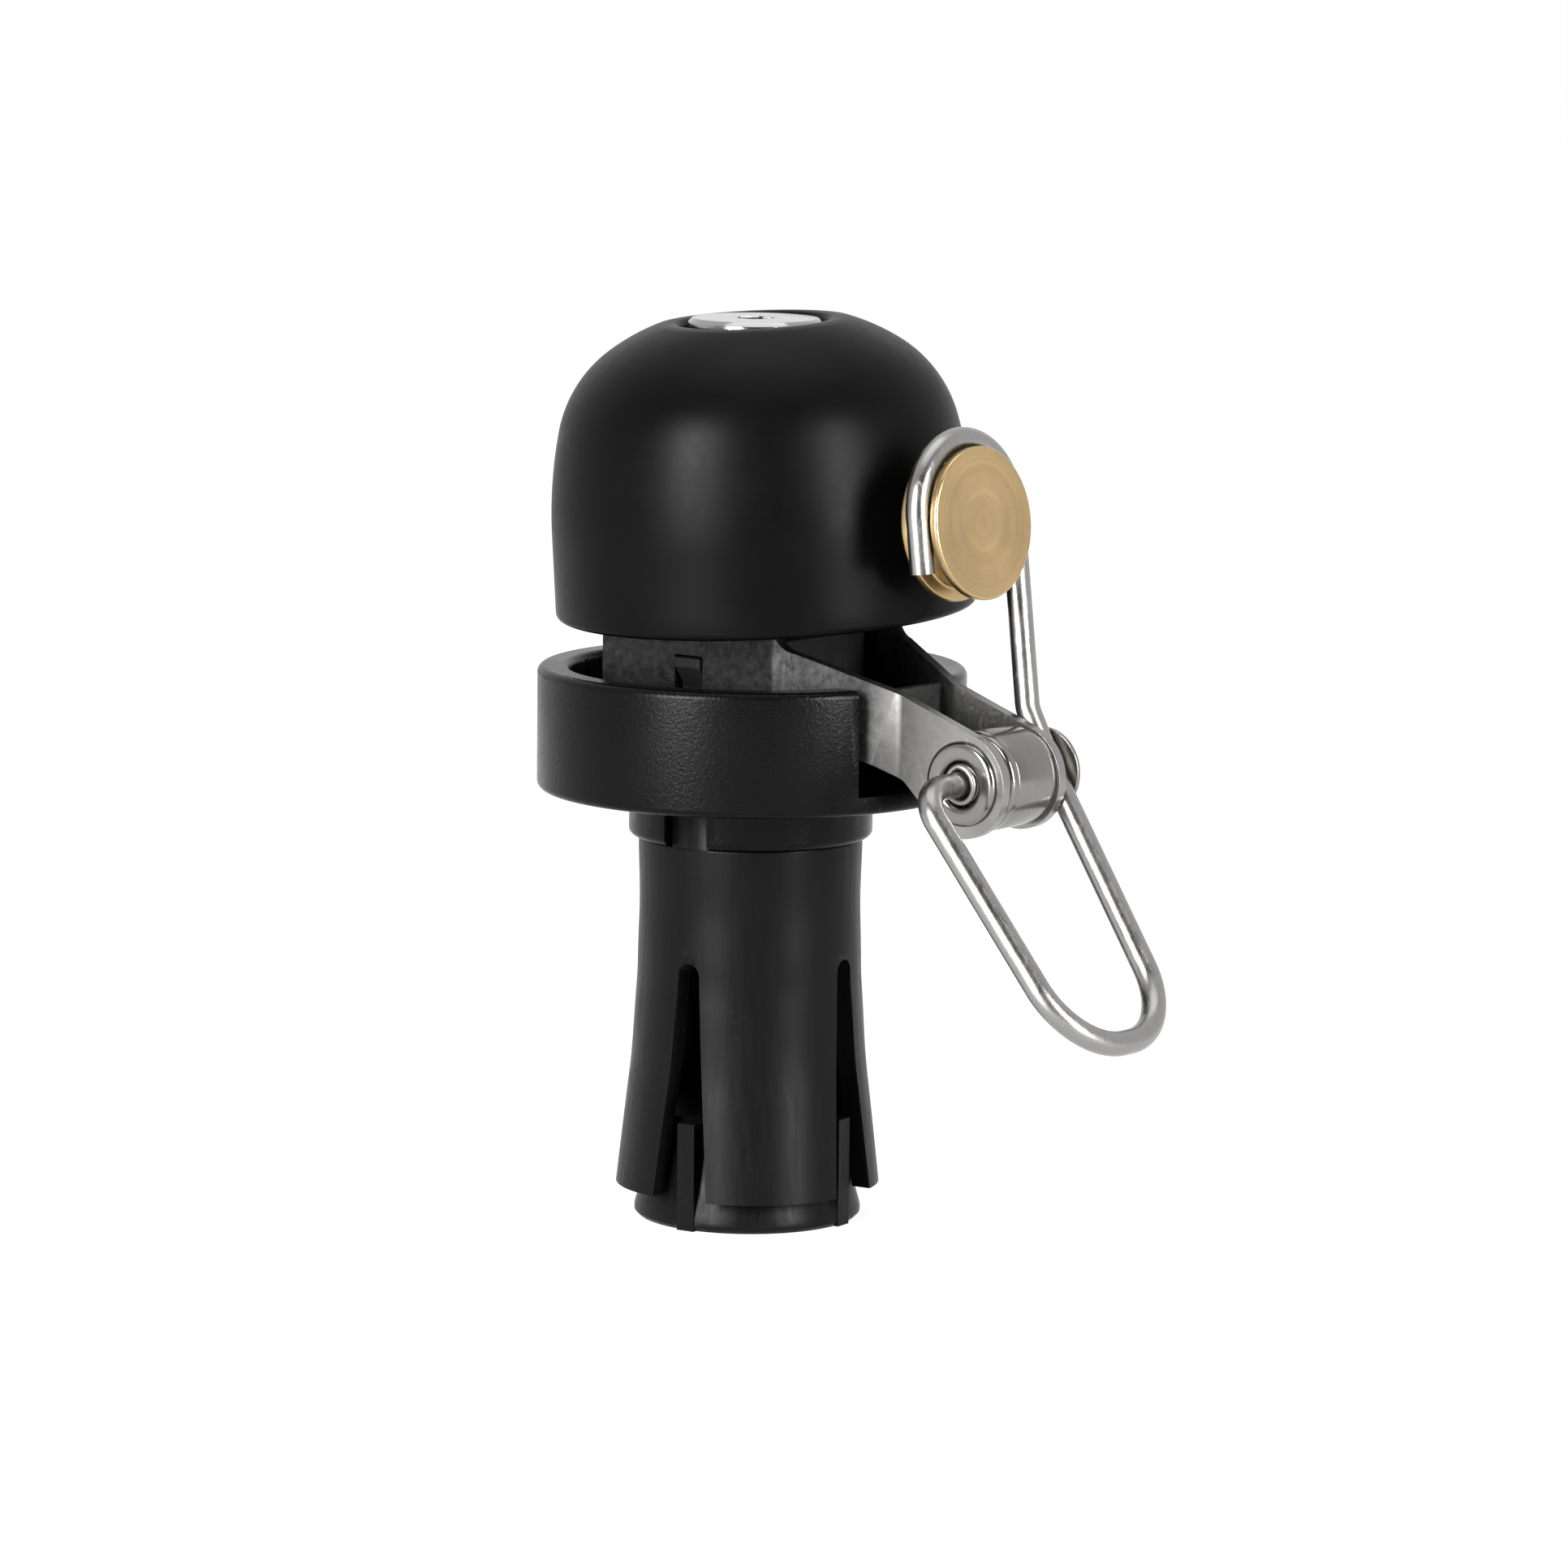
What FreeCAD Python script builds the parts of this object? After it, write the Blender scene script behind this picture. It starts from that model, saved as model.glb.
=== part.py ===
"""Bar-end bicycle bell, built as separate named pieces.

Frame: millimetres, +Z up along the clamp screw, z = 0 on the face that butts
against the end of the handlebar, +X the way the striker bracket points.
"""
import FreeCAD, Part
import math
import os
import Sketcher

V = FreeCAD.Vector
doc = FreeCAD.newDocument("BarEndBell")

# --------------------------------------------------------------------------
# Driving dimensions: alias, value (mm or degrees), what it is
# --------------------------------------------------------------------------
SIZES = [
    # base ring
    ("ring_radius", 15.45, "outside radius of the cup ring"),
    ("ring_height", 8.9, "height of the cup ring's wall"),
    ("ring_wall", 2.3, "thickness of the wall"),
    ("ring_floor", 1.3, "thickness of the floor"),
    ("ring_slot_half", 5.55, "half width of the slot that the ears leave through"),
    ("ring_edge", 0.55, "rounding of the ring's outer edges"),
    ("spigot_radius", 8.8, "radius of the spigot under the ring"),
    ("spigot_depth", 3.4, "depth of the spigot"),
    ("notch_half", 1.8, "half width of each notch in the spigot"),
    ("notch_depth", 1.9, "depth of each notch"),
    ("relief_width", 0.15, "width of the relief groove round the root of the spigot"),
    ("relief_height", 0.15, "height of that groove and of the notches above the butting face"),
    ("lug_top", 0.65, "depth of the top of the lugs that fill the notches"),
    ("lug_radius", 8.04, "outside radius of the lugs"),
    ("key_angle", -82.8, "angle of the notches and slots about Z"),
    # expander sleeve and legs
    ("sleeve_top_radius", 8.07, "radius of the sleeve under the spigot"),
    ("sleeve_waist_radius", 7.95, "radius of the sleeve's waist"),
    ("sleeve_bore_radius", 6.3, "inside radius of the collar"),
    ("sleeve_roof", 2.2, "thickness of the collar's roof"),
    ("sleeve_top", 3.5, "depth of the top of the collar"),
    ("waist_depth", 8.0, "depth of the waist"),
    ("root_depth", 12.75, "depth at which the legs begin"),
    ("root_gap", 0.15, "free gap at each leg's root"),
    ("leg_radius", 8.07, "outside radius that the legs are rolled to"),
    ("leg_wall", 1.5, "thickness of the legs"),
    ("slot_half", 0.875, "half width of the slots between legs"),
    ("leg_taper", 0.35, "how much each side of a leg narrows towards its tip"),
    ("leg_z1", 15.85, "depth of the first station of a leg"),
    ("leg_z2", 19.45, "depth of the second station"),
    ("leg_z3", 22.25, "depth of the third station"),
    ("leg_z4", 25.15, "depth of the fourth station"),
    ("leg_z5", 28.8, "depth of the legs' tips"),
    ("flare1", 0.17, "outward bend at the first station"),
    ("flare2", 0.41, "outward bend at the second station"),
    ("flare3", 0.73, "outward bend at the third station"),
    ("flare4", 1.07, "outward bend at the fourth station"),
    ("flare5", 1.48, "outward bend at the tips"),
    # expander wedge
    ("wedge_top", 23.4, "depth of the wedge's top"),
    ("wedge_bottom", 31.2, "depth of the wedge's bottom"),
    ("wedge_top_radius", 6.4, "radius at the top of the cone"),
    ("wedge_mouth_depth", 28.25, "depth of the lower end of the cone"),
    ("wedge_mouth_radius", 7.5, "radius at the lower end of the cone"),
    ("wedge_flare_depth", 29.25, "depth of the flare under the cone"),
    ("wedge_flare_radius", 7.85, "radius of the flare under the cone"),
    ("wedge_lip_radius", 8.2, "radius of the lip at the bottom"),
    ("rib_half", 0.72, "half width of the key ribs"),
    ("rib_radius", 8.25, "reach of the key ribs"),
    ("nut_across", 8.0, "nut, across flats"),
    ("nut_height", 4.0, "height of the nut"),
    ("nut_play", 0.08, "clearance round the nut"),
    ("nut_sink", 2.6, "how far the nut sits above the wedge's bottom"),
    # clamp screw
    ("screw_radius", 2.5, "radius of the M5 shank"),
    ("screw_hole", 2.7, "radius of the holes the screw passes through"),
    ("head_radius", 4.83, "radius of the screw's head"),
    ("head_top", 33.9, "height of the top of the head"),
    ("head_height", 1.9, "height of the head"),
    ("head_chamfer", 0.3, "chamfer round the head"),
    ("key_across", 2.5, "socket in the head, across flats"),
    ("key_depth", 1.3, "depth of the socket"),
    ("screw_end", 30.5, "depth of the screw's end"),
    ("thread_pitch", 0.8, "pitch of the M5 thread"),
    ("thread_depth", 0.35, "depth of the thread's grooves"),
    ("thread_length", 17.6, "length of the threaded end"),
    # dome
    ("dome_radius", 15.15, "outside radius of the dome"),
    ("dome_wall", 1.5, "thickness of the dome"),
    ("dome_rim", 12.9, "height of the rim"),
    ("dome_straight", 18.95, "height at which the wall begins to curve"),
    ("shoulder_radius", 14.3, "radius of the profile's lower knot"),
    ("shoulder_height", 26.35, "height of the lower knot"),
    ("brow_radius", 10.55, "radius of the profile's upper knot"),
    ("brow_height", 31.85, "height of the upper knot"),
    ("crest_radius", 6.7, "radius of the crest ring"),
    ("crest_height", 33.75, "height of the crest ring"),
    ("dimple_radius", 4.95, "radius of the dimple"),
    ("dimple_flare", 0.4, "how much the dimple widens up to the crest"),
    ("dimple_floor", 31.15, "height of the dimple's floor"),
    ("dome_hole", 3.0, "radius of the hole in the dimple"),
    ("dome_lean", 3.5, "lean of the dome on its soft seat, degrees"),
    ("lean_azimuth", -113.0, "the way the crown leans, degrees about Z"),
    ("seat_radius", 5.0, "radius of the soft seat"),
    ("washer_radius", 4.7, "radius of the washer under the head"),
    ("soft_hole", 2.62, "bore of the seat and of the washer"),
    # striker bracket
    ("sheet", 0.8, "thickness of the bracket's sheet"),
    ("plate_offset", 6.7, "mid-plane of each plate"),
    ("plate_back", 8.1, "reach of the plates behind the screw"),
    ("plate_front", 7.8, "reach of the plates in front of the screw"),
    ("ear_offset", 3.2, "mid-plane of each ear at the pivot"),
    ("ear_start", 16.3, "where the ears turn parallel"),
    ("bend_radius", 1.4, "bend radius of the plates and ears"),
    ("ear_x", 22.0, "centre of the ears' round ends, along X"),
    ("ear_z", 2.75, "height of that centre"),
    ("plate_foot", 1.35, "height of the plates' lower edge"),
    ("bridge_top", 27.55, "height of the top of the bridge"),
    ("bridge_half", 6.0, "half length of the bridge"),
    ("shoulder_low", 19.85, "height at which the plates begin to narrow"),
    ("shoulder_high", 24.35, "height at which they have narrowed"),
    ("bridge_bend", 1.6, "outer bend radius of the bridge"),
    ("ear_radius", 3.74, "radius of the ears' ends"),
    ("ear_top_x", 23.204, "where the ears' top edge meets the end"),
    ("ear_top_z", 6.292, "height of that point"),
    ("ear_root_z", 11.64, "height of the ears' top edge at the plates"),
    ("ear_low_x", 18.83, "where the ears' lower edge meets the end"),
    ("ear_low_z", 0.768, "height of that point"),
    ("ear_chin_x", 14.6, "corner of the lower edge at the slot"),
    ("ear_chin_z", 3.55, "height of that corner"),
    ("ear_knee_x", 16.9, "second corner of the lower edge"),
    ("ear_knee_z", 2.55, "height of that corner"),
    ("window_half", 1.3, "half width of the snap windows"),
    ("window_low", 6.95, "lower edge of the windows"),
    ("window_high", 10.25, "upper edge of the windows"),
    ("tab_x", 14.1, "front face of the cross-tab"),
    ("tab_low", 5.85, "lower edge of the cross-tab"),
    ("tab_high", 8.65, "upper edge of the cross-tab"),
    # core post
    ("post_half_x", 5.4, "half length of the post's base"),
    ("post_half_y", 6.15, "half width of the post's base"),
    ("post_base_top", 11.35, "height of the post's base"),
    ("post_radius", 4.6, "radius of the post's column"),
    ("hook_half", 1.15, "half width of the snap hooks"),
    ("hook_reach", 7.35, "reach of the snap hooks"),
    # pivot
    ("pivot_x", 22.15, "position of the pivot along X"),
    ("pivot_z", 2.9, "height of the pivot"),
    ("eyelet_radius", 2.05, "outside radius of the eyelet's tube"),
    ("eyelet_bore", 1.62, "bore of the eyelet"),
    ("eyelet_flange", 3.0, "radius of the eyelet's rolled flange"),
    ("flange_height", 0.45, "thickness of the rolled flange"),
    ("drum_radius", 3.55, "radius of the spring drum"),
    ("drum_washer", 0.3, "thickness of the drum's washers"),
    ("drum_washer_radius", 3.35, "radius of the drum's washers"),
    ("drum_slot_half", 0.35, "half width of the drum's slot"),
    ("fit_gap", 0.03, "radial clearance of the fixed parts on the eyelet"),
    ("bush_bore", 0.94, "bore of the bearing bush"),
    ("bush_start", -1.4, "near end of the bush"),
    ("spring_wire", 0.225, "radius of the torsion spring's wire"),
    ("spring_radius", 1.27, "mean radius of its coil"),
    ("spring_pitch", 0.5, "pitch of its coil"),
    ("spring_start", -4.1, "near end of its coil"),
    ("spring_turns", 4.25, "number of its turns"),
    # striker
    ("wire_radius", 0.88, "radius of the striker's wire"),
    ("wire_far", 4.68, "far strand's distance from the middle"),
    ("wire_near", 8.55, "near strand's distance from the middle"),
    ("stem_radius", 0.45, "radius of the riveted stem of the axle"),
    ("axle_end", 3.55, "where the full thickness of the axle ends"),
    ("tip_x", 35.65, "reach of the finger loop"),
    ("tip_z", -13.85, "height of the finger loop's end"),
    ("tip_near", 7.85, "near side of the loop's end"),
    ("tip_far", 3.5, "far side of the loop's end"),
    ("loop_bend", 5.5, "bend radius of the loop"),
    ("hook_rise", 0.6, "centre of the hook's bend above the hammer's axis"),
    ("hook_drop", 3.1, "reach of the hook's free end below the axis"),
    ("strand_drop", 5.0, "where the far strand begins to lean in, below the axis"),
    ("elbow_x", 21.4, "corner of the far strand above the pivot"),
    ("elbow_z", 7.35, "height of that corner"),
    ("knee_x", 23.92, "corner of the far strand beside the pivot"),
    ("knee_z", 2.62, "height of that corner"),
    ("hammer_x", 19.35, "middle of the hammer's groove, along X"),
    ("hammer_z", 20.62, "height of the hammer's middle"),
    ("hammer_tilt", 7.0, "tilt of the hammer, degrees"),
    ("hammer_radius", 5.4, "radius of the hammer"),
    ("groove_radius", 4.4, "radius at the bottom of the hammer's groove"),
    ("groove_half", 0.93, "half width of the groove"),
    ("hammer_front", 1.62, "front face's distance from the groove's middle"),
    ("hammer_back", 1.65, "back face's distance from the groove's middle"),
    ("cap_radius", 3.1, "radius of the axle cap"),
    ("cap_thick", 0.45, "thickness of the axle cap"),
    ("cap_start", 5.58, "near face of the axle cap"),
]

sheet = doc.addObject("Spreadsheet::Sheet", "Params")
for row, (alias, value, note) in enumerate(SIZES, start=1):
    sheet.set("A%d" % row, note)
    sheet.set("B%d" % row, str(value))
    sheet.setAlias("B%d" % row, alias)
doc.recompute()


class Dim:
    """A length that keeps both its number and its spreadsheet expression."""

    def __init__(self, value, expr):
        self.value, self.expr = float(value), expr

    @staticmethod
    def of(x):
        return x if isinstance(x, Dim) else Dim(x, "(%.6g)" % x)

    def join(self, other, sign, value):
        return Dim(value, "(%s %s %s)" % (self.expr, sign, Dim.of(other).expr))

    def __add__(self, o):
        return self.join(o, "+", self.value + Dim.of(o).value)

    def __sub__(self, o):
        return self.join(o, "-", self.value - Dim.of(o).value)

    def __mul__(self, o):
        return self.join(o, "*", self.value * Dim.of(o).value)

    def __truediv__(self, o):
        return self.join(o, "/", self.value / Dim.of(o).value)

    def __rsub__(self, o):
        return Dim.of(o) - self

    def __neg__(self):
        return Dim(-self.value, "(-1 * %s)" % self.expr)


P = {alias: Dim(value, "Params.%s" % alias) for alias, value, _ in SIZES}


def val(x):
    return Dim.of(x).value


def bind(obj, prop, x):
    """Set a property to a length and bind it to the sheet."""
    if isinstance(x, Dim):
        obj.setExpression(prop, x.expr)
    else:
        setattr(obj, prop, x)


# --------------------------------------------------------------------------
# Part Design helpers
# --------------------------------------------------------------------------
def new_body(label):
    body = doc.addObject("PartDesign::Body", label)
    body.Label = label
    return body


def plane_of(body, role):
    """Origin plane or axis of a body."""
    for feature in body.Origin.OriginFeatures:
        if feature.Role == role:
            return feature
    raise ValueError(role)


def new_sketch(body, name, role, offset=None):
    """Sketch on one of the body's own origin planes."""
    sk = body.newObject("Sketcher::SketchObject", "%s_%s" % (body.Name, name))
    sk.AttachmentSupport = [(plane_of(body, role), "")]
    sk.MapMode = "FlatFace"
    if offset is not None:
        sk.AttachmentOffset = offset
    return sk


def pin_point(sk, geo, end, point):
    """Hold one end of a sketch line or arc at sheet-driven coordinates."""
    for kind, x in (("DistanceX", point[0]), ("DistanceY", point[1])):
        n = sk.addConstraint(Sketcher.Constraint(kind, -1, 1, geo, end, val(x)))
        if isinstance(x, Dim):
            sk.setExpression("Constraints[%d]" % n, x.expr)


def add_loop(sk, points, arcs=None):
    """Closed loop through points; arcs = {segment: (centre x, centre y, ccw)}."""
    arcs = arcs or {}
    first = sk.GeometryCount
    count = len(points)
    ends = []
    for i in range(count):
        a = V(val(points[i][0]), val(points[i][1]), 0)
        b = V(val(points[(i + 1) % count][0]), val(points[(i + 1) % count][1]), 0)
        if i not in arcs:
            sk.addGeometry(Part.LineSegment(a, b), False)
            ends.append((1, 2))
            continue
        cx, cy, ccw = arcs[i]
        centre = V(val(cx), val(cy), 0)
        start, stop = (a, b) if ccw else (b, a)
        circle = Part.Circle(centre, V(0, 0, 1), (a - centre).Length)
        lo, hi = [math.atan2(p.y - centre.y, p.x - centre.x) for p in (start, stop)]
        if hi < lo:
            hi += 2 * math.pi
        sk.addGeometry(Part.ArcOfCircle(circle, lo, hi), False)
        ends.append((1, 2) if ccw else (2, 1))
    for i in range(count):
        j = (i + 1) % count
        sk.addConstraint(Sketcher.Constraint(
            "Coincident", first + i, ends[i][1], first + j, ends[j][0]))
    for i in range(count):
        pin_point(sk, first + i, ends[i][0], points[i])
    for i in arcs:
        radius = math.hypot(val(points[i][0]) - val(arcs[i][0]),
                            val(points[i][1]) - val(arcs[i][1]))
        sk.addConstraint(Sketcher.Constraint("Radius", first + i, radius))
    return first


def add_circle(sk, x, y, radius):
    g = sk.addGeometry(Part.Circle(V(val(x), val(y), 0), V(0, 0, 1), val(radius)), False)
    pin_point(sk, g, 3, (x, y))
    n = sk.addConstraint(Sketcher.Constraint("Radius", g, val(radius)))
    if isinstance(radius, Dim):
        sk.setExpression("Constraints[%d]" % n, radius.expr)
    return g


def add_hexagon(sk, across):
    """Hexagon round the origin, from its width across flats."""
    corner = across / math.sqrt(3.0)
    loop = []
    for i in range(6):
        angle = math.radians(60 * i)
        loop.append((corner * round(math.cos(angle), 6), corner * round(math.sin(angle), 6)))
    add_loop(sk, loop)


def rectangle(x0, y0, x1, y1):
    return [(x0, y0), (x1, y0), (x1, y1), (x0, y1)]


def feature(body, kind, name, sk=None, **props):
    made = body.newObject("PartDesign::" + kind, "%s_%s" % (body.Name, name))
    if sk is not None:
        made.Profile = sk
        sk.Visibility = False
    for key, x in props.items():
        bind(made, key, x)
    return made


def revolve(body, name, sk, angle=360.0, cut=False):
    """Revolve a sketch about the body's Z axis."""
    made = feature(body, "Groove" if cut else "Revolution", name, sk)
    made.ReferenceAxis = (sk, ["V_Axis"])
    made.Angle = angle
    made.Midplane = angle < 360.0
    doc.recompute()
    return made


def revolved_body(label, points, arcs=None):
    body = new_body(label)
    sk = new_sketch(body, "profile", "XZ_Plane")
    add_loop(sk, points, arcs)
    revolve(body, "turn", sk)
    return body


def pad(body, name, sk, length, both=False, reverse=False):
    made = feature(body, "Pad", name, sk, Length=length)
    made.Midplane = both
    made.Reversed = reverse
    doc.recompute()
    return made


def pocket(body, name, sk, length=None, both=False, reverse=False):
    """Cut a pocket and make sure that it removed something."""
    before = body.Shape.Volume
    made = feature(body, "Pocket", name, sk)
    if length is None:
        made.Type = 1
    else:
        bind(made, "Length", length)
    made.Midplane = both
    made.Reversed = reverse
    doc.recompute()
    if not body.Shape.Volume < before - 1e-6:
        raise RuntimeError("%s %s removed nothing" % (body.Label, name))
    return made


def polar(body, name, source, count):
    made = body.newObject("PartDesign::PolarPattern", "%s_%s" % (body.Name, name))
    made.Originals = [source]
    made.Axis = (plane_of(body, "Z_Axis"), [""])
    made.Angle = 360.0
    made.Occurrences = count
    body.Tip = made
    doc.recompute()
    return made


def round_edges(body, name, radius, wanted, kind="Fillet"):
    """Round (or chamfer) the tip's edges for which wanted(edge) holds."""
    base = body.Tip
    names = ["Edge%d" % (i + 1) for i, e in enumerate(base.Shape.Edges) if wanted(e)]
    if not names:
        raise RuntimeError("%s %s found no edge" % (body.Label, name))
    made = body.newObject("PartDesign::" + kind, "%s_%s" % (body.Name, name))
    made.Base = (base, names)
    bind(made, "Radius" if kind == "Fillet" else "Size", radius)
    doc.recompute()
    return made


def is_ring(edge, radius, height):
    """True for a horizontal circular edge of this radius and height."""
    curve = edge.Curve
    return (isinstance(curve, Part.Circle) and abs(curve.Radius - val(radius)) < 0.02
            and abs(curve.Axis.z) > 0.99 and abs(curve.Center.z - val(height)) < 0.02)


def is_upright(edge, spots, tolerance=0.05):
    """True for a vertical straight edge that stands on one of the spots."""
    a, b = edge.Vertexes[0].Point, edge.Vertexes[-1].Point
    if (a - b).Length < 1e-6 or abs(a.z - b.z) < 0.999 * (a - b).Length:
        return False
    return any(math.hypot(a.x - x, a.y - y) < tolerance for x, y in spots)


def turned(degrees):
    """Placement turned about Z."""
    return FreeCAD.Placement(V(0, 0, 0), FreeCAD.Rotation(V(0, 0, 1), degrees))


def turned_upright(degrees):
    """Attachment offset that swings an XZ sketch about the world Z axis."""
    return FreeCAD.Placement(V(0, 0, 0), FreeCAD.Rotation(V(0, 1, 0), degrees))


# --------------------------------------------------------------------------
# Base ring with its spigot
# --------------------------------------------------------------------------
def make_base_ring():
    inner = P["ring_radius"] - P["ring_wall"]
    body = revolved_body("base_ring", [
        (P["screw_hole"], -P["spigot_depth"]),
        (P["spigot_radius"], -P["spigot_depth"]),
        (P["spigot_radius"], P["relief_height"]),
        (P["spigot_radius"] + P["relief_width"], P["relief_height"]),
        (P["spigot_radius"] + P["relief_width"], Dim(0, "0")),
        (P["ring_radius"], Dim(0, "0")),
        (P["ring_radius"], P["ring_height"]),
        (inner, P["ring_height"]),
        (inner, P["ring_floor"]),
        (P["screw_hole"], P["ring_floor"]),
    ])
    outer = ((P["ring_radius"], 0.0), (P["ring_radius"], P["ring_height"]),
             (P["spigot_radius"], -P["spigot_depth"]), (inner, P["ring_height"]))
    round_edges(body, "edges", P["ring_edge"],
                lambda e: any(is_ring(e, r, z) for r, z in outer))
    sk = new_sketch(body, "slot", "YZ_Plane")
    add_loop(sk, rectangle(-P["ring_slot_half"], P["ring_floor"],
                           P["ring_slot_half"], P["ring_height"] + 2))
    pocket(body, "slot_cut", sk, P["ring_radius"] + 2, reverse=True)
    roof = FreeCAD.Placement(V(0, 0, val(P["relief_height"])),
                             FreeCAD.Rotation(V(0, 0, 1), val(P["key_angle"])))
    sk = new_sketch(body, "notch", "XY_Plane", roof)
    add_loop(sk, rectangle(P["spigot_radius"] - P["notch_depth"], -P["notch_half"],
                           P["spigot_radius"] + 1, P["notch_half"]))
    cut = pocket(body, "notch_cut", sk, P["spigot_depth"] + P["relief_height"] + 0.2)
    polar(body, "notches", cut, 2)
    return body


# --------------------------------------------------------------------------
# Expander: collar, four legs, wedge and nut
# --------------------------------------------------------------------------
def make_sleeve():
    root = -P["root_depth"] + P["root_gap"] / 2
    roof = -P["sleeve_top"] - P["sleeve_roof"]
    body = revolved_body("expander_sleeve", [
        (P["screw_hole"] + 0.1, -P["sleeve_top"]),
        (P["sleeve_top_radius"], -P["sleeve_top"]),
        (P["sleeve_waist_radius"], -P["waist_depth"]),
        (P["leg_radius"], root),
        (P["sleeve_bore_radius"], root),
        (P["sleeve_bore_radius"], roof),
        (P["screw_hole"] + 0.1, roof),
    ])
    # lugs that key the sleeve into the spigot's notches
    sk = new_sketch(body, "lug", "XZ_Plane", turned_upright(val(P["key_angle"])))
    play = 0.08
    inner = P["spigot_radius"] - P["notch_depth"] + play * 3
    add_loop(sk, rectangle(inner, -P["sleeve_top"] - 0.4, P["lug_radius"], -P["lug_top"]))
    half_angle = math.degrees(math.asin((val(P["notch_half"]) - play) / val(P["spigot_radius"])))
    lug = revolve(body, "lug_turn", sk, 2 * half_angle)
    polar(body, "lugs", lug, 2)
    # rounded tops of the four slots
    sk = new_sketch(body, "arch", "XZ_Plane", turned_upright(val(P["key_angle"])))
    add_circle(sk, 0.0, root, P["slot_half"])
    cut = pocket(body, "arch_cut", sk, None, both=True)
    polar(body, "arches", cut, 4)
    return body


def leg_section(body, name, depth, flare, narrow):
    """One level section of a leg: a rolled panel, bent outward along the leg's X."""
    sk = new_sketch(body, name, "XY_Plane",
                    FreeCAD.Placement(V(0, 0, -val(depth)), FreeCAD.Rotation()))
    outer, inner = P["leg_radius"], P["leg_radius"] - P["leg_wall"]
    gap = val(P["slot_half"]) + narrow
    corners = []
    for radius, side in ((outer, -1), (outer, 1), (inner, 1), (inner, -1)):
        angle = side * (math.pi / 4 - math.asin(gap / val(radius)))
        corners.append((flare + radius * round(math.cos(angle), 6),
                        radius * round(math.sin(angle), 6)))
    add_loop(sk, corners, {0: (flare, 0.0, True), 2: (flare, 0.0, False)})
    return sk


def make_leg(index):
    """One flexing leg, shaped as it stands with the wedge drawn up."""
    body = new_body("sleeve_leg_%d" % (index + 1))
    stations = [(P["root_depth"] + P["root_gap"] / 2, Dim(0, "0"))]
    stations += [(P["leg_z%d" % i], P["flare%d" % i]) for i in range(1, 6)]
    top, tip = val(stations[0][0]), val(stations[-1][0])
    sections = []
    for i, (depth, flare) in enumerate(stations):
        narrow = val(P["leg_taper"]) * (val(depth) - top) / (tip - top)
        sections.append(leg_section(body, "station_%d" % i, depth, flare, narrow))
    loft = body.newObject("PartDesign::AdditiveLoft", body.Name + "_loft")
    loft.Profile = sections[0]
    loft.Sections = sections[1:]
    for sk in sections:
        sk.Visibility = False
    body.Placement = turned(val(P["key_angle"]) + 45 + 90 * index)
    doc.recompute()
    return body


def make_wedge():
    body = revolved_body("expander_wedge", [
        (P["screw_hole"] + 0.1, -P["wedge_top"]),
        (P["wedge_top_radius"], -P["wedge_top"]),
        (P["wedge_mouth_radius"], -P["wedge_mouth_depth"]),
        (P["wedge_flare_radius"], -P["wedge_flare_depth"]),
        (P["wedge_lip_radius"], -P["wedge_bottom"] + 0.7),
        (P["wedge_lip_radius"], -P["wedge_bottom"] + 0.3),
        (P["wedge_lip_radius"] - 0.3, -P["wedge_bottom"]),
        (P["screw_hole"] + 0.1, -P["wedge_bottom"]),
    ])
    depth = FreeCAD.Placement(V(0, 0, -val(P["wedge_bottom"])),
                              FreeCAD.Rotation(V(0, 0, 1), val(P["key_angle"])))
    sk = new_sketch(body, "rib", "XY_Plane", depth)
    add_loop(sk, rectangle(P["wedge_top_radius"] - 2.0, -P["rib_half"],
                           P["rib_radius"], P["rib_half"]))
    rib = pad(body, "rib_pad", sk, P["wedge_bottom"] - P["wedge_top"])
    polar(body, "ribs", rib, 4)
    sk = new_sketch(body, "pocket", "XY_Plane",
                    FreeCAD.Placement(V(0, 0, -val(P["wedge_bottom"])), FreeCAD.Rotation()))
    add_hexagon(sk, P["nut_across"] + P["nut_play"] * 2)
    pocket(body, "nut_pocket", sk, P["nut_height"] + P["nut_sink"], reverse=True)
    return body


def make_nut():
    low = -P["wedge_bottom"] + P["nut_sink"] - 0.04
    body = new_body("wedge_nut")
    sk = new_sketch(body, "hexagon", "XY_Plane",
                    FreeCAD.Placement(V(0, 0, val(low)), FreeCAD.Rotation()))
    add_hexagon(sk, P["nut_across"])
    add_circle(sk, 0.0, 0.0, P["screw_radius"] + 0.04)
    pad(body, "block", sk, P["nut_height"])
    # the usual 30 degree turned corners of a nut
    corner = P["nut_across"] / math.sqrt(3.0)
    sk = new_sketch(body, "corner", "XZ_Plane")
    for level, way in ((low, -1.0), (low + P["nut_height"], 1.0)):
        add_loop(sk, [
            (P["nut_across"] / 2, level + 0.5 * way),
            (P["nut_across"] / 2, level),
            (corner + 0.3, level - 0.52 * way),
            (corner + 0.3, level + 0.5 * way),
        ])
    revolve(body, "corners", sk, cut=True)
    return body


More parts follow.
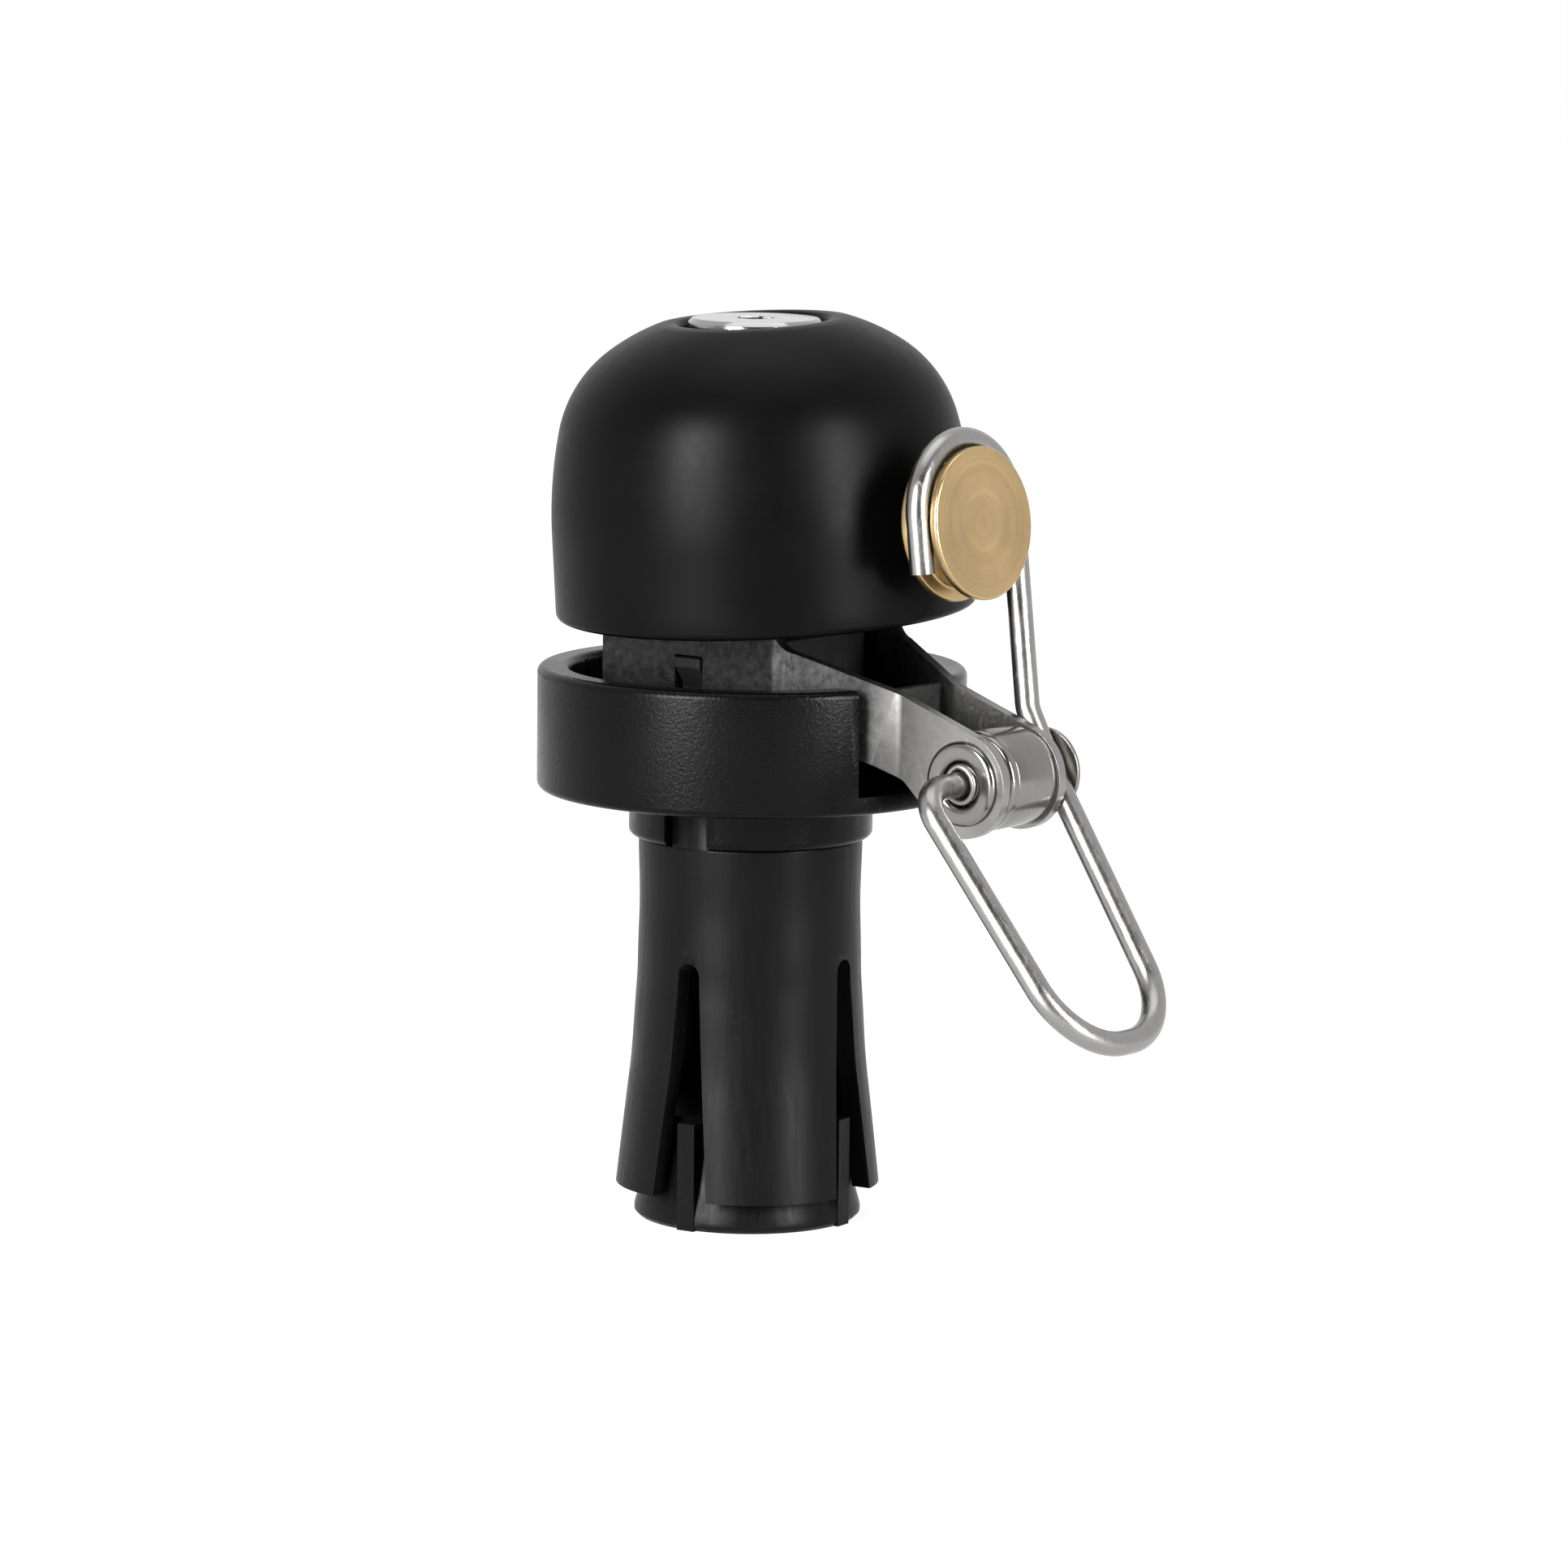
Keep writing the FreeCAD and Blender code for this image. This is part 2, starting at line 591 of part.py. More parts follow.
# --------------------------------------------------------------------------
# Clamp screw
# --------------------------------------------------------------------------
def make_screw():
    under = P["head_top"] - P["head_height"]
    body = revolved_body("clamp_screw", [
        (Dim(0, "0"), -P["screw_end"]),
        (P["screw_radius"] - P["thread_depth"], -P["screw_end"]),
        (P["screw_radius"], -P["screw_end"] + P["thread_depth"]),
        (P["screw_radius"], under),
        (P["head_radius"], under),
        (P["head_radius"], P["head_top"] - P["head_chamfer"]),
        (P["head_radius"] - P["head_chamfer"], P["head_top"]),
        (Dim(0, "0"), P["head_top"]),
    ])
    sk = new_sketch(body, "socket", "XY_Plane",
                    FreeCAD.Placement(V(0, 0, val(P["head_top"])), FreeCAD.Rotation()))
    add_hexagon(sk, P["key_across"])
    pocket(body, "socket_cut", sk, P["key_depth"])
    # thread, as a row of turned grooves at the M5 pitch
    start = -P["screw_end"] + P["thread_pitch"]
    core = P["screw_radius"] - P["thread_depth"]
    sk = new_sketch(body, "thread", "XZ_Plane")
    add_loop(sk, [
        (core, start - P["thread_pitch"] * 0.06),
        (P["screw_radius"] + 0.1, start - P["thread_pitch"] * 0.42),
        (P["screw_radius"] + 0.1, start + P["thread_pitch"] * 0.42),
        (core, start + P["thread_pitch"] * 0.06),
    ])
    groove = revolve(body, "thread_cut", sk, cut=True)
    row = body.newObject("PartDesign::LinearPattern", "clamp_screw_thread_row")
    row.Originals = [groove]
    row.Direction = (plane_of(body, "Z_Axis"), [""])
    bind(row, "Length", P["thread_length"] - P["thread_pitch"])
    row.Occurrences = int(round(val(P["thread_length"]) / val(P["thread_pitch"])))
    body.Tip = row
    doc.recompute()
    return body


# --------------------------------------------------------------------------
# Dome on its soft seat
# --------------------------------------------------------------------------
def lean_placement():
    """Tilt of the dome about the middle of the dimple's floor."""
    azimuth = math.radians(val(P["lean_azimuth"]))
    axis = V(-math.sin(azimuth), math.cos(azimuth), 0)
    turn = FreeCAD.Rotation(axis, val(P["dome_lean"]))
    centre = V(0, 0, val(P["dimple_floor"]))
    return FreeCAD.Placement(centre - turn.multVec(centre), turn)


def tangent_arc(a, direction, b):
    """Centre of the arc from a to b that leaves a along direction, and its end direction."""
    ax, ay = a
    nx, ny = -direction[1], direction[0]
    cx, cy = b[0] - ax, b[1] - ay
    radius = (cx * cx + cy * cy) / (2 * (cx * nx + cy * ny))
    centre = (ax + nx * radius, ay + ny * radius)
    rx, ry = (b[0] - centre[0]) / radius, (b[1] - centre[1]) / radius
    return centre, (-ry, rx)


def make_dome():
    body = new_body("dome")
    sk = new_sketch(body, "profile", "XZ_Plane")
    knots = [(P["dome_radius"], P["dome_straight"]), (P["shoulder_radius"], P["shoulder_height"]),
             (P["brow_radius"], P["brow_height"]), (P["crest_radius"], P["crest_height"])]
    mouth = P["dimple_radius"] + P["dimple_flare"]
    arcs, direction = {}, (0.0, 1.0)
    for i in range(3):
        a, b = [(val(k[0]), val(k[1])) for k in knots[i:i + 2]]
        centre, direction = tangent_arc(a, direction, b)
        arcs[i + 2] = (centre[0], centre[1], True)
    add_loop(sk, [
        (Dim(0, "0"), P["dome_rim"]),
        (P["dome_radius"], P["dome_rim"]),
        knots[0], knots[1], knots[2], knots[3],
        (mouth, P["crest_height"]),
        (P["dimple_radius"], P["dimple_floor"]),
        (Dim(0, "0"), P["dimple_floor"]),
    ], arcs)
    revolve(body, "turn", sk)
    round_edges(body, "crest", 0.45, lambda e: is_ring(e, mouth, P["crest_height"])
                or is_ring(e, P["crest_radius"], P["crest_height"]))
    base = body.Tip
    floor = ["Face%d" % (i + 1) for i, f in enumerate(base.Shape.Faces)
             if abs(f.CenterOfMass.z - val(P["dome_rim"])) < 1e-6]
    shell = body.newObject("PartDesign::Thickness", "dome_shell")
    shell.Base = (base, floor)
    bind(shell, "Value", P["dome_wall"])
    shell.Reversed = True
    shell.Join = 1
    doc.recompute()
    sk = new_sketch(body, "hole", "XY_Plane")
    add_circle(sk, 0.0, 0.0, P["dome_hole"])
    pocket(body, "hole_cut", sk, None, both=True)
    inner = P["dome_radius"] - P["dome_wall"]
    round_edges(body, "rim", 0.5, lambda e: is_ring(e, P["dome_radius"], P["dome_rim"])
                or is_ring(e, inner, P["dome_rim"]))
    body.Placement = lean_placement()
    doc.recompute()
    return body


def leaned_pad(label, radius, bottom, top, cut_above):
    """Soft ring with one level face and one face that follows the dome's lean."""
    outer = doc.addObject("Part::Cylinder", label + "_disc")
    bind(outer, "Radius", radius)
    bind(outer, "Height", top - bottom + 1.5)
    hole = doc.addObject("Part::Cylinder", label + "_hole")
    bind(hole, "Radius", P["soft_hole"])
    bind(hole, "Height", top - bottom + 1.5)
    foot = val(bottom) - (0 if cut_above else 1.5)
    outer.Placement.Base = hole.Placement.Base = V(0, 0, foot)
    ring = doc.addObject("Part::Cut", label + "_ring")
    ring.Base, ring.Tool = outer, hole
    trim = doc.addObject("Part::Cylinder", label + "_trim")
    trim.Radius = 12.0
    trim.Height = 5.0
    level = val(top) + 0.02 if cut_above else val(bottom) - 5.0 - 0.02
    trim.Placement = lean_placement().multiply(FreeCAD.Placement(V(0, 0, level),
                                                                 FreeCAD.Rotation()))
    made = doc.addObject("Part::Cut", label)
    made.Base, made.Tool = ring, trim
    made.Label = label
    doc.recompute()
    return made


def make_seat():
    """Between the bridge and the crown: its upper face follows the lean."""
    crown = P["dimple_floor"] - P["dome_wall"] - 0.04
    return leaned_pad("dome_seat", P["seat_radius"], P["bridge_top"] + 0.02, crown, True)


def make_washer():
    """Between the dimple's floor and the screw's head: its lower face leans."""
    top = P["head_top"] - P["head_height"] - 0.02
    return leaned_pad("dome_washer", P["washer_radius"], P["dimple_floor"] + 0.02, top, False)


# --------------------------------------------------------------------------
# Striker bracket and its core post
# --------------------------------------------------------------------------
def ear_slope():
    return ((P["plate_offset"] - P["ear_offset"])
            / (P["ear_start"] - P["plate_front"]))


def wall_loop(side):
    """Plan outline of one plate and its ear; side is -1 near, +1 far."""
    half = P["sheet"] / 2
    bend = math.atan(val(ear_slope()))
    mitre = half * round(math.tan(bend / 2), 6)
    end = P["ear_x"] + P["ear_radius"] + 1
    out, into = P["plate_offset"] + half, P["plate_offset"] - half
    ear_out, ear_in = P["ear_offset"] + half, P["ear_offset"] - half
    loop = [
        (-P["plate_back"], out), (P["plate_front"] + mitre, out),
        (P["ear_start"] + mitre, ear_out), (end, ear_out), (end, ear_in),
        (P["ear_start"] - mitre, ear_in), (P["plate_front"] - mitre, into),
        (-P["plate_back"], into),
    ]
    return [(x, y * side) for x, y in loop]


def make_bracket():
    body = new_body("striker_bracket")
    foot = P["plate_foot"]
    low = P["ear_z"] - P["ear_radius"] - 3
    sk = new_sketch(body, "plan", "XY_Plane",
                    FreeCAD.Placement(V(0, 0, val(low)), FreeCAD.Rotation()))
    add_loop(sk, wall_loop(-1.0))
    add_loop(sk, wall_loop(1.0))
    pad(body, "walls", sk, P["bridge_top"] - P["bridge_bend"] - low)
    spots = [(x, y) for side in (-1.0, 1.0) for x, y in
             [(val(a), val(b)) for a, b in wall_loop(side)[1:3] + wall_loop(side)[5:7]]]
    round_edges(body, "bends", P["bend_radius"], lambda e: is_upright(e, spots))

    # bridge: an inverted channel over the screw
    sk = new_sketch(body, "channel", "YZ_Plane")
    out, into = P["plate_offset"] + P["sheet"] / 2, P["plate_offset"] - P["sheet"] / 2
    top, under = P["bridge_top"], P["bridge_top"] - P["sheet"]
    bend, tight = P["bridge_bend"], P["bridge_bend"] - P["sheet"]
    spring = top - bend
    deep = spring - 2
    add_loop(sk, [
        (-out, deep), (-into, deep), (-into, spring), (-into + tight, under),
        (into - tight, under), (into, spring), (into, deep), (out, deep),
        (out, spring), (out - bend, top), (-out + bend, top), (-out, spring),
    ], {
        2: (-into + tight, spring, False), 4: (into - tight, spring, False),
        8: (out - bend, spring, True), 10: (-out + bend, spring, True),
    })
    pad(body, "bridge", sk, P["plate_back"] * 2, both=True)

    # side outline: everything outside it is cut away
    sk = new_sketch(body, "outline", "XZ_Plane")
    add_loop(sk, rectangle(-30.0, -20.0, 45.0, 45.0))
    add_loop(sk, [
        (-P["plate_back"], foot),
        (P["plate_front"] + 1.8, foot),
        (P["ear_chin_x"] - 1.6, P["ear_chin_z"] + 0.5),
        (P["ear_chin_x"], P["ear_chin_z"]),
        (P["ear_knee_x"], P["ear_knee_z"]),
        (P["ear_low_x"], P["ear_low_z"]),
        (P["ear_top_x"], P["ear_top_z"]),
        (P["plate_front"] + 1.6, P["ear_root_z"] - 0.53),
        (P["plate_front"], P["ear_root_z"] + 1.6),
        (P["plate_front"], P["shoulder_low"]),
        (P["bridge_half"], P["shoulder_high"]),
        (P["bridge_half"], P["bridge_top"] + 1),
        (-P["bridge_half"], P["bridge_top"] + 1),
        (-P["bridge_half"], P["shoulder_high"]),
        (-P["plate_back"], P["shoulder_low"]),
    ], {
        5: (P["ear_x"], P["ear_z"], True),
        7: (P["plate_front"] + 2.15, P["ear_root_z"] + 1.25, False),
    })
    pocket(body, "trim", sk, None, both=True)

    # cross-tab folded in from the far ear
    sk = new_sketch(body, "tab", "XY_Plane",
                    FreeCAD.Placement(V(0, 0, val(P["tab_low"])), FreeCAD.Rotation()))
    reach = P["plate_offset"] - ear_slope() * (P["tab_x"] - P["plate_front"])
    add_loop(sk, rectangle(P["tab_x"], -reach + 1.0, P["tab_x"] + P["sheet"], reach))
    pad(body, "cross_tab", sk, P["tab_high"] - P["tab_low"])

    # windows, pivot holes and the hole for the screw
    sk = new_sketch(body, "window", "XZ_Plane")
    add_loop(sk, rectangle(-P["window_half"], P["window_low"], P["window_half"], P["window_high"]))
    pocket(body, "windows", sk, None, both=True)
    sk = new_sketch(body, "pivot", "XZ_Plane")
    add_circle(sk, P["pivot_x"], P["pivot_z"], P["eyelet_radius"] + P["fit_gap"])
    pocket(body, "pivot_holes", sk, None, both=True)
    sk = new_sketch(body, "hole", "XY_Plane")
    add_circle(sk, 0.0, 0.0, P["screw_hole"])
    pocket(body, "screw_hole", sk, None, both=True)
    return body


def make_post():
    body = new_body("core_post")
    foot = P["ring_floor"] + 0.02
    top = P["bridge_top"] - P["sheet"] - 0.05
    sk = new_sketch(body, "base", "XY_Plane",
                    FreeCAD.Placement(V(0, 0, val(foot)), FreeCAD.Rotation()))
    add_loop(sk, rectangle(-P["post_half_x"], -P["post_half_y"],
                           P["post_half_x"], P["post_half_y"]))
    pad(body, "block", sk, P["post_base_top"] - foot)
    sk = new_sketch(body, "column", "XY_Plane",
                    FreeCAD.Placement(V(0, 0, val(foot)), FreeCAD.Rotation()))
    add_circle(sk, 0.0, 0.0, P["post_radius"])
    pad(body, "shaft", sk, top - foot)
    sk = new_sketch(body, "hooks", "YZ_Plane")
    latch = P["window_high"] - 0.15
    for side in (-1.0, 1.0):
        add_loop(sk, [
            ((P["post_half_y"] - 0.5) * side, latch),
            (P["hook_reach"] * side, latch),
            (P["hook_reach"] * side, latch - 0.7),
            ((P["post_half_y"] - 0.5) * side, P["window_low"] + 0.2),
        ])
    pad(body, "hook_pads", sk, P["hook_half"] * 2, both=True)
    sk = new_sketch(body, "bore", "XY_Plane")
    add_circle(sk, 0.0, 0.0, P["screw_hole"])
    pocket(body, "bore_cut", sk, None, both=True)
    return body


# --------------------------------------------------------------------------
# Pivot: eyelet, bush, drum, washers and torsion spring, all about one axis
# --------------------------------------------------------------------------
def at_pivot(body):
    """Stand a body that was turned about Z on the pivot, its Z towards +Y."""
    body.Placement = FreeCAD.Placement(V(val(P["pivot_x"]), 0, val(P["pivot_z"])),
                                       FreeCAD.Rotation(V(1, 0, 0), -90))
    doc.recompute()
    return body


def leg_slot(body, name, reach):
    """Opening for the spring's fixed leg, on the side away from the bell."""
    sk = new_sketch(body, name, "XZ_Plane")
    spot = P["spring_start"] + P["spring_pitch"] * P["spring_turns"]
    x0 = P["eyelet_bore"] - 0.4
    add_loop(sk, rectangle(x0, spot - P["drum_slot_half"], reach,
                           spot + P["drum_slot_half"] + 0.6))
    revolve(body, name + "_cut", sk, 22.0, cut=True)


def make_eyelet():
    ear_out = P["ear_offset"] + P["sheet"] / 2
    face = -ear_out - 0.02
    front = face - P["flange_height"]
    body = revolved_body("pivot_eyelet", [
        (P["eyelet_bore"] + 0.25, front),
        (P["eyelet_flange"] - 0.25, front),
        (P["eyelet_flange"], front + 0.25),
        (P["eyelet_flange"], face),
        (P["eyelet_radius"], face),
        (P["eyelet_radius"], ear_out),
        (P["eyelet_bore"], ear_out),
        (P["eyelet_bore"], front + 0.25),
    ])
    leg_slot(body, "leg_hole", P["eyelet_radius"] + 0.5)
    return at_pivot(body)


def make_bush():
    body = revolved_body("pivot_bush", [
        (P["bush_bore"], P["bush_start"]),
        (P["eyelet_bore"] - P["fit_gap"], P["bush_start"]),
        (P["eyelet_bore"] - P["fit_gap"], P["ear_offset"] + P["sheet"] / 2 - 0.05),
        (P["bush_bore"], P["ear_offset"] + P["sheet"] / 2 - 0.05),
    ])
    return at_pivot(body)


def make_drum():
    end = P["ear_offset"] - P["sheet"] / 2 - P["drum_washer"] - 0.06
    edge = 0.3
    body = revolved_body("spring_drum", [
        (P["eyelet_radius"] + P["fit_gap"], -end),
        (P["drum_radius"] - edge, -end),
        (P["drum_radius"], -end + edge),
        (P["drum_radius"], end - edge),
        (P["drum_radius"] - edge, end),
        (P["eyelet_radius"] + P["fit_gap"], end),
    ])
    leg_slot(body, "leg_slot", P["drum_radius"] + 0.5)
    return at_pivot(body)


def make_drum_washers():
    """The two equal washers, one on each side of the drum."""
    pair = []
    for name, side in (("near", -1.0), ("far", 1.0)):
        inner = (P["ear_offset"] - P["sheet"] / 2 - 0.03) * side
        outer = (P["ear_offset"] - P["sheet"] / 2 - 0.03 - P["drum_washer"]) * side
        body = revolved_body("washer_" + name, [
            (P["eyelet_radius"] + P["fit_gap"], inner),
            (P["drum_washer_radius"], inner),
            (P["drum_washer_radius"], outer),
            (P["eyelet_radius"] + P["fit_gap"], outer),
        ])
        pair.append(at_pivot(body))
    both = doc.addObject("Part::Compound", "drum_washers")
    both.Links = pair
    both.Label = "drum_washers"
    doc.recompute()
    return both


def make_spring():
    """Torsion spring: its coil, and its fixed leg out through the drum's slot."""
    radius, wire = val(P["spring_radius"]), val(P["spring_wire"])
    turns, pitch = val(P["spring_turns"]), val(P["spring_pitch"])
    start = val(P["spring_start"])
    helix = Part.makeLongHelix(pitch, pitch * turns, radius)
    begin, finish = V(radius, 0, 0), 2 * math.pi * turns
    tip = V(radius * math.cos(finish), radius * math.sin(finish), pitch * turns)
    coil_wire = Part.Wire(helix)
    profile = Part.Wire(Part.makeCircle(wire, begin, V(0, 1, pitch / (2 * math.pi * radius))))
    coil = coil_wire.makePipeShell([profile], True, True)
    out = V(math.cos(finish), math.sin(finish), 0)
    leg = Part.makeCylinder(wire, val(P["drum_radius"]) - radius - 0.25, tip, out)
    solid = coil.fuse(leg).removeSplitter()
    place = FreeCAD.Placement(V(0, 0, start), FreeCAD.Rotation(V(0, 0, 1), -math.degrees(finish)))
    solid = solid.transformed(place.toMatrix(), True)
    made = doc.addObject("Part::Feature", "return_spring")
    made.Shape = solid
    made.Label = "return_spring"
    return at_pivot(made)


# --------------------------------------------------------------------------
# Striker: bent wire, hammer and axle cap
# --------------------------------------------------------------------------
def hammer_up():
    tilt = math.radians(val(P["hammer_tilt"]))
    return V(-math.sin(tilt), 0, math.cos(tilt))


def wire_corners():
    """Corners of the wire's centreline, each with its bend radius."""
    up = hammer_up()
    middle = V(val(P["hammer_x"]), 0, val(P["hammer_z"]))
    ring = val(P["groove_radius"]) + val(P["wire_radius"]) + 0.03
    side = V(0, ring, 0)
    top = up * (ring + val(P["hook_rise"]))
    x, z = val(P["pivot_x"]), val(P["pivot_z"])
    far, near = val(P["wire_far"]), val(P["wire_near"])
    loop, lean_bend, elbow_bend, knee_bend, axle_bend = val(P["loop_bend"]), 12.0, 2.6, 6.0, 2.5
    return [
        (middle - side - up * val(P["hook_drop"]), 0),
        (middle - side + top, ring - 0.01),
        (middle + side + top, ring - 0.01),
        (middle + side - up * val(P["strand_drop"]), lean_bend),
        (V(val(P["elbow_x"]), far, val(P["elbow_z"])), elbow_bend),
        (V(val(P["knee_x"]), far, val(P["knee_z"])), knee_bend),
        (V(val(P["tip_x"]), val(P["tip_far"]), val(P["tip_z"])), loop),
        (V(val(P["tip_x"]), -val(P["tip_near"]), val(P["tip_z"])), loop),
        (V(x, -near, z), axle_bend),
        (V(x, val(P["axle_end"]), z), 0),
    ]


def bent_path(corners):
    """Straight runs joined by tangent arcs, as one wire."""
    edges, last = [], corners[0][0]
    for i in range(1, len(corners) - 1):
        point, radius = corners[i]
        before = (corners[i - 1][0] - point).normalize()
        after = (corners[i + 1][0] - point).normalize()
        opening = before.getAngle(after)
        reach = radius / math.tan(opening / 2)
        a, b = point + before * reach, point + after * reach
        halfway = (before + after).normalize()
        middle = point + halfway * (radius / math.sin(opening / 2) - radius)
        if (a - last).Length > 1e-4:
            edges.append(Part.makeLine(last, a))
        edges.append(Part.Arc(a, middle, b).toShape())
        last = b
    edges.append(Part.makeLine(last, corners[-1][0]))
    return Part.Wire(edges)


def make_wire():
    corners = wire_corners()
    spine = doc.addObject("Part::Feature", "striker_wire_path")
    spine.Shape = bent_path(corners)
    section = doc.addObject("Part::Circle", "striker_wire_section")
    bind(section, "Radius", P["wire_radius"])
    start = corners[0][0]
    heading = (corners[1][0] - start).normalize()
    section.Placement = FreeCAD.Placement(start, FreeCAD.Rotation(V(0, 0, 1), heading))
    doc.recompute()
    rod = doc.addObject("Part::Sweep", "striker_wire_rod")
    rod.Sections = [section]
    rod.Spine = (spine, [])
    rod.Solid = True
    rod.Frenet = False
    rod.Transition = 1
    stem = doc.addObject("Part::Cylinder", "striker_wire_stem")
    bind(stem, "Radius", P["stem_radius"])
    bind(stem, "Height", P["cap_start"] + P["cap_thick"] - P["axle_end"] + 0.1)
    stem.Placement = FreeCAD.Placement(
        V(val(P["pivot_x"]), val(P["axle_end"]) - 0.05, val(P["pivot_z"])),
        FreeCAD.Rotation(V(1, 0, 0), -90))
    made = doc.addObject("Part::Fuse", "striker_wire")
    made.Base, made.Tool = rod, stem
    made.Label = "striker_wire"
    doc.recompute()
    return made


def make_hammer():
    """Turned spool; built about Z and laid over so that its axis runs along X."""
    front, back = P["hammer_front"], -P["hammer_back"]
    bevel = 0.22
    body = revolved_body("hammer", [
        (Dim(0, "0"), back),
        (P["hammer_radius"] - bevel, back),
        (P["hammer_radius"], back + bevel),
        (P["hammer_radius"], -P["groove_half"] - 0.1),
        (P["groove_radius"], -P["groove_half"]),
        (P["groove_radius"], P["groove_half"]),
        (P["hammer_radius"], P["groove_half"] + 0.1),
        (P["hammer_radius"], front - bevel),
        (P["hammer_radius"] - bevel, front),
        (Dim(0, "0"), front),
    ])
    # shallow turned rings on the front face
    sk = new_sketch(body, "rings", "XZ_Plane")
    for share in (0.22, 0.47, 0.73):
        radius = P["hammer_radius"] * share
        add_loop(sk, [(radius - 0.09, front + 0.05), (radius, front - 0.06),
                      (radius + 0.09, front + 0.05)])
    revolve(body, "ring_cut", sk, cut=True)
    body.Placement = FreeCAD.Placement(
        V(val(P["hammer_x"]), 0, val(P["hammer_z"])),
        FreeCAD.Rotation(V(0, 1, 0), 90 - val(P["hammer_tilt"])))
    doc.recompute()
    return body


def make_cap():
    end = P["cap_start"] + P["cap_thick"]
    body = revolved_body("axle_cap", [
        (P["stem_radius"] + 0.02, P["cap_start"]),
        (P["cap_radius"], P["cap_start"]),
        (P["cap_radius"], end - 0.15),
        (P["cap_radius"] - 0.15, end),
        (P["stem_radius"] + 0.02, end),
    ])
    return at_pivot(body)


# --------------------------------------------------------------------------
# Build, check and write
# --------------------------------------------------------------------------
pieces = [make_base_ring(), make_sleeve()]
pieces += [make_leg(i) for i in range(4)]
pieces += [make_wedge(), make_nut(), make_screw(), make_dome(), make_seat(), make_washer(),
           make_bracket(), make_post(), make_eyelet(), make_bush(), make_drum(),
           make_drum_washers(), make_spring(), make_wire(), make_hammer(), make_cap()]
doc.recompute()

for obj in doc.Objects:
    if "Invalid" in obj.State or "Error" in obj.State:
        raise RuntimeError("%s did not compute: %s" % (obj.Label, obj.State))

os.makedirs("parts", exist_ok=True)
for piece in pieces:
    shape = piece.Shape
    if shape.isNull() or not shape.isValid() or shape.Volume <= 0:
        raise RuntimeError("%s has no valid shape" % piece.Label)
    shape.exportStep("parts/%s.step" % piece.Label)
    box = shape.BoundBox
    print("%-16s %2d solid(s) %9.2f mm3  x %7.2f..%6.2f  y %7.2f..%6.2f  z %7.2f..%6.2f" % (
        piece.Label, len(shape.Solids), shape.Volume,
        box.XMin, box.XMax, box.YMin, box.YMax, box.ZMin, box.ZMax))
print("pieces:", len(pieces))
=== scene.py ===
"""Looks for the bar-end bicycle bell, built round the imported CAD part.

Lengths are written in millimetres and multiplied by MM. +Z runs up the clamp
screw, +X the way the striker bracket points, z = 0 is the ring's underside.
"""

import math

import bpy
from mathutils import Matrix, Vector


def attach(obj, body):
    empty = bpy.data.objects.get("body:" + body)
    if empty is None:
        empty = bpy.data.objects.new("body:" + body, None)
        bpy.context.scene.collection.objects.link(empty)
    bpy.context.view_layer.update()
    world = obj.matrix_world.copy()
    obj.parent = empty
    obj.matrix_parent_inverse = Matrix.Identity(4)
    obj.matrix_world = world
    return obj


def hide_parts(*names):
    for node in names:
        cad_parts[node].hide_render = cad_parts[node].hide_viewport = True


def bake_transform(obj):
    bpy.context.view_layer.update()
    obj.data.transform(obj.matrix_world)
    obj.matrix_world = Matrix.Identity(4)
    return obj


MM = 0.001
TAU = 2 * math.pi

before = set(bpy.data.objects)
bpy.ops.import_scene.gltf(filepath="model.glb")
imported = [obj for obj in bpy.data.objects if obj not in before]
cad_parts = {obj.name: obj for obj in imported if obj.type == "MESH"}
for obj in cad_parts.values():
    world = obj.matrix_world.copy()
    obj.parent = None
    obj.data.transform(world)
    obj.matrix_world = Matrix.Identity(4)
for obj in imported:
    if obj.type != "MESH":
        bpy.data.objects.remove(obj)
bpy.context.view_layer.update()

# --------------------------------------------------------------------------
# Sizes in millimetres, following the CAD part
# --------------------------------------------------------------------------
WEDGE_BOTTOM = -31.2

# dome: a lathe shape that leans about the middle of its dimple's floor
DOME_R, DOME_WALL = 15.15, 1.5
DOME_RIM, DOME_STRAIGHT = 12.9, 18.95     # heights of the rim and of the straight wall's end
DOME_SHOULDERS = [(14.3, 26.35), (10.55, 31.85)]
DOME_CREST = (6.7, 33.75)
DIMPLE_R, DIMPLE_MOUTH, DIMPLE_FLOOR = 4.95, 5.35, 31.15
SCREW_HOLE_R = 3.0
LEAN, LEAN_WAY = math.radians(3.5), math.radians(-113.0)

# expander sleeve, with depths counted down from z = 0
KEY_ANGLE = math.radians(-82.8)           # of the first slot, about Z
SLEEVE_R, SLEEVE_WALL = 8.1, 1.5
WAIST_DEPTH, WAIST_CUT, WAIST_SPREAD = 8.0, 0.12, 3.0
COLLAR_TOP, ROOT, LEG_TIP = 3.6, 12.75, 28.8
SLOT_ARCH = ROOT - 0.075                  # depth of the middle of a slot's round end
SLOT_HALF, SLOT_FLARE = 0.875, 0.35       # half width, and what it gains down to the tip
LEG_BEND = [(3.5, 0.0), (ROOT, 0.0), (15.85, 0.17), (19.45, 0.41), (22.25, 0.73), (25.15, 1.07),
            (LEG_TIP, 1.48)]              # depth and outward bend

# striker
PIVOT = Vector((22.15, 0.0, 2.9))
WIRE_R = 0.88
HAMMER_AT = Vector((19.35, 0.0, 20.62))
HAMMER_TILT = math.radians(7.0)
HAMMER_R, GROOVE_R, GROOVE_HALF = 5.4, 4.4, 0.93
HAMMER_FRONT, HAMMER_BACK = 1.62, 1.65
LOOP_TIP = Vector((35.65, 0.0, -13.85))
ELBOW, KNEE = (21.4, 7.35), (23.92, 2.62)  # (x, z) of the bends in the far strand
STRAND_Y, AXLE_NEAR_Y, AXLE_FAR_Y = 4.68, -8.55, 3.55
TIP_NEAR_Y, TIP_FAR_Y = -7.85, 3.5

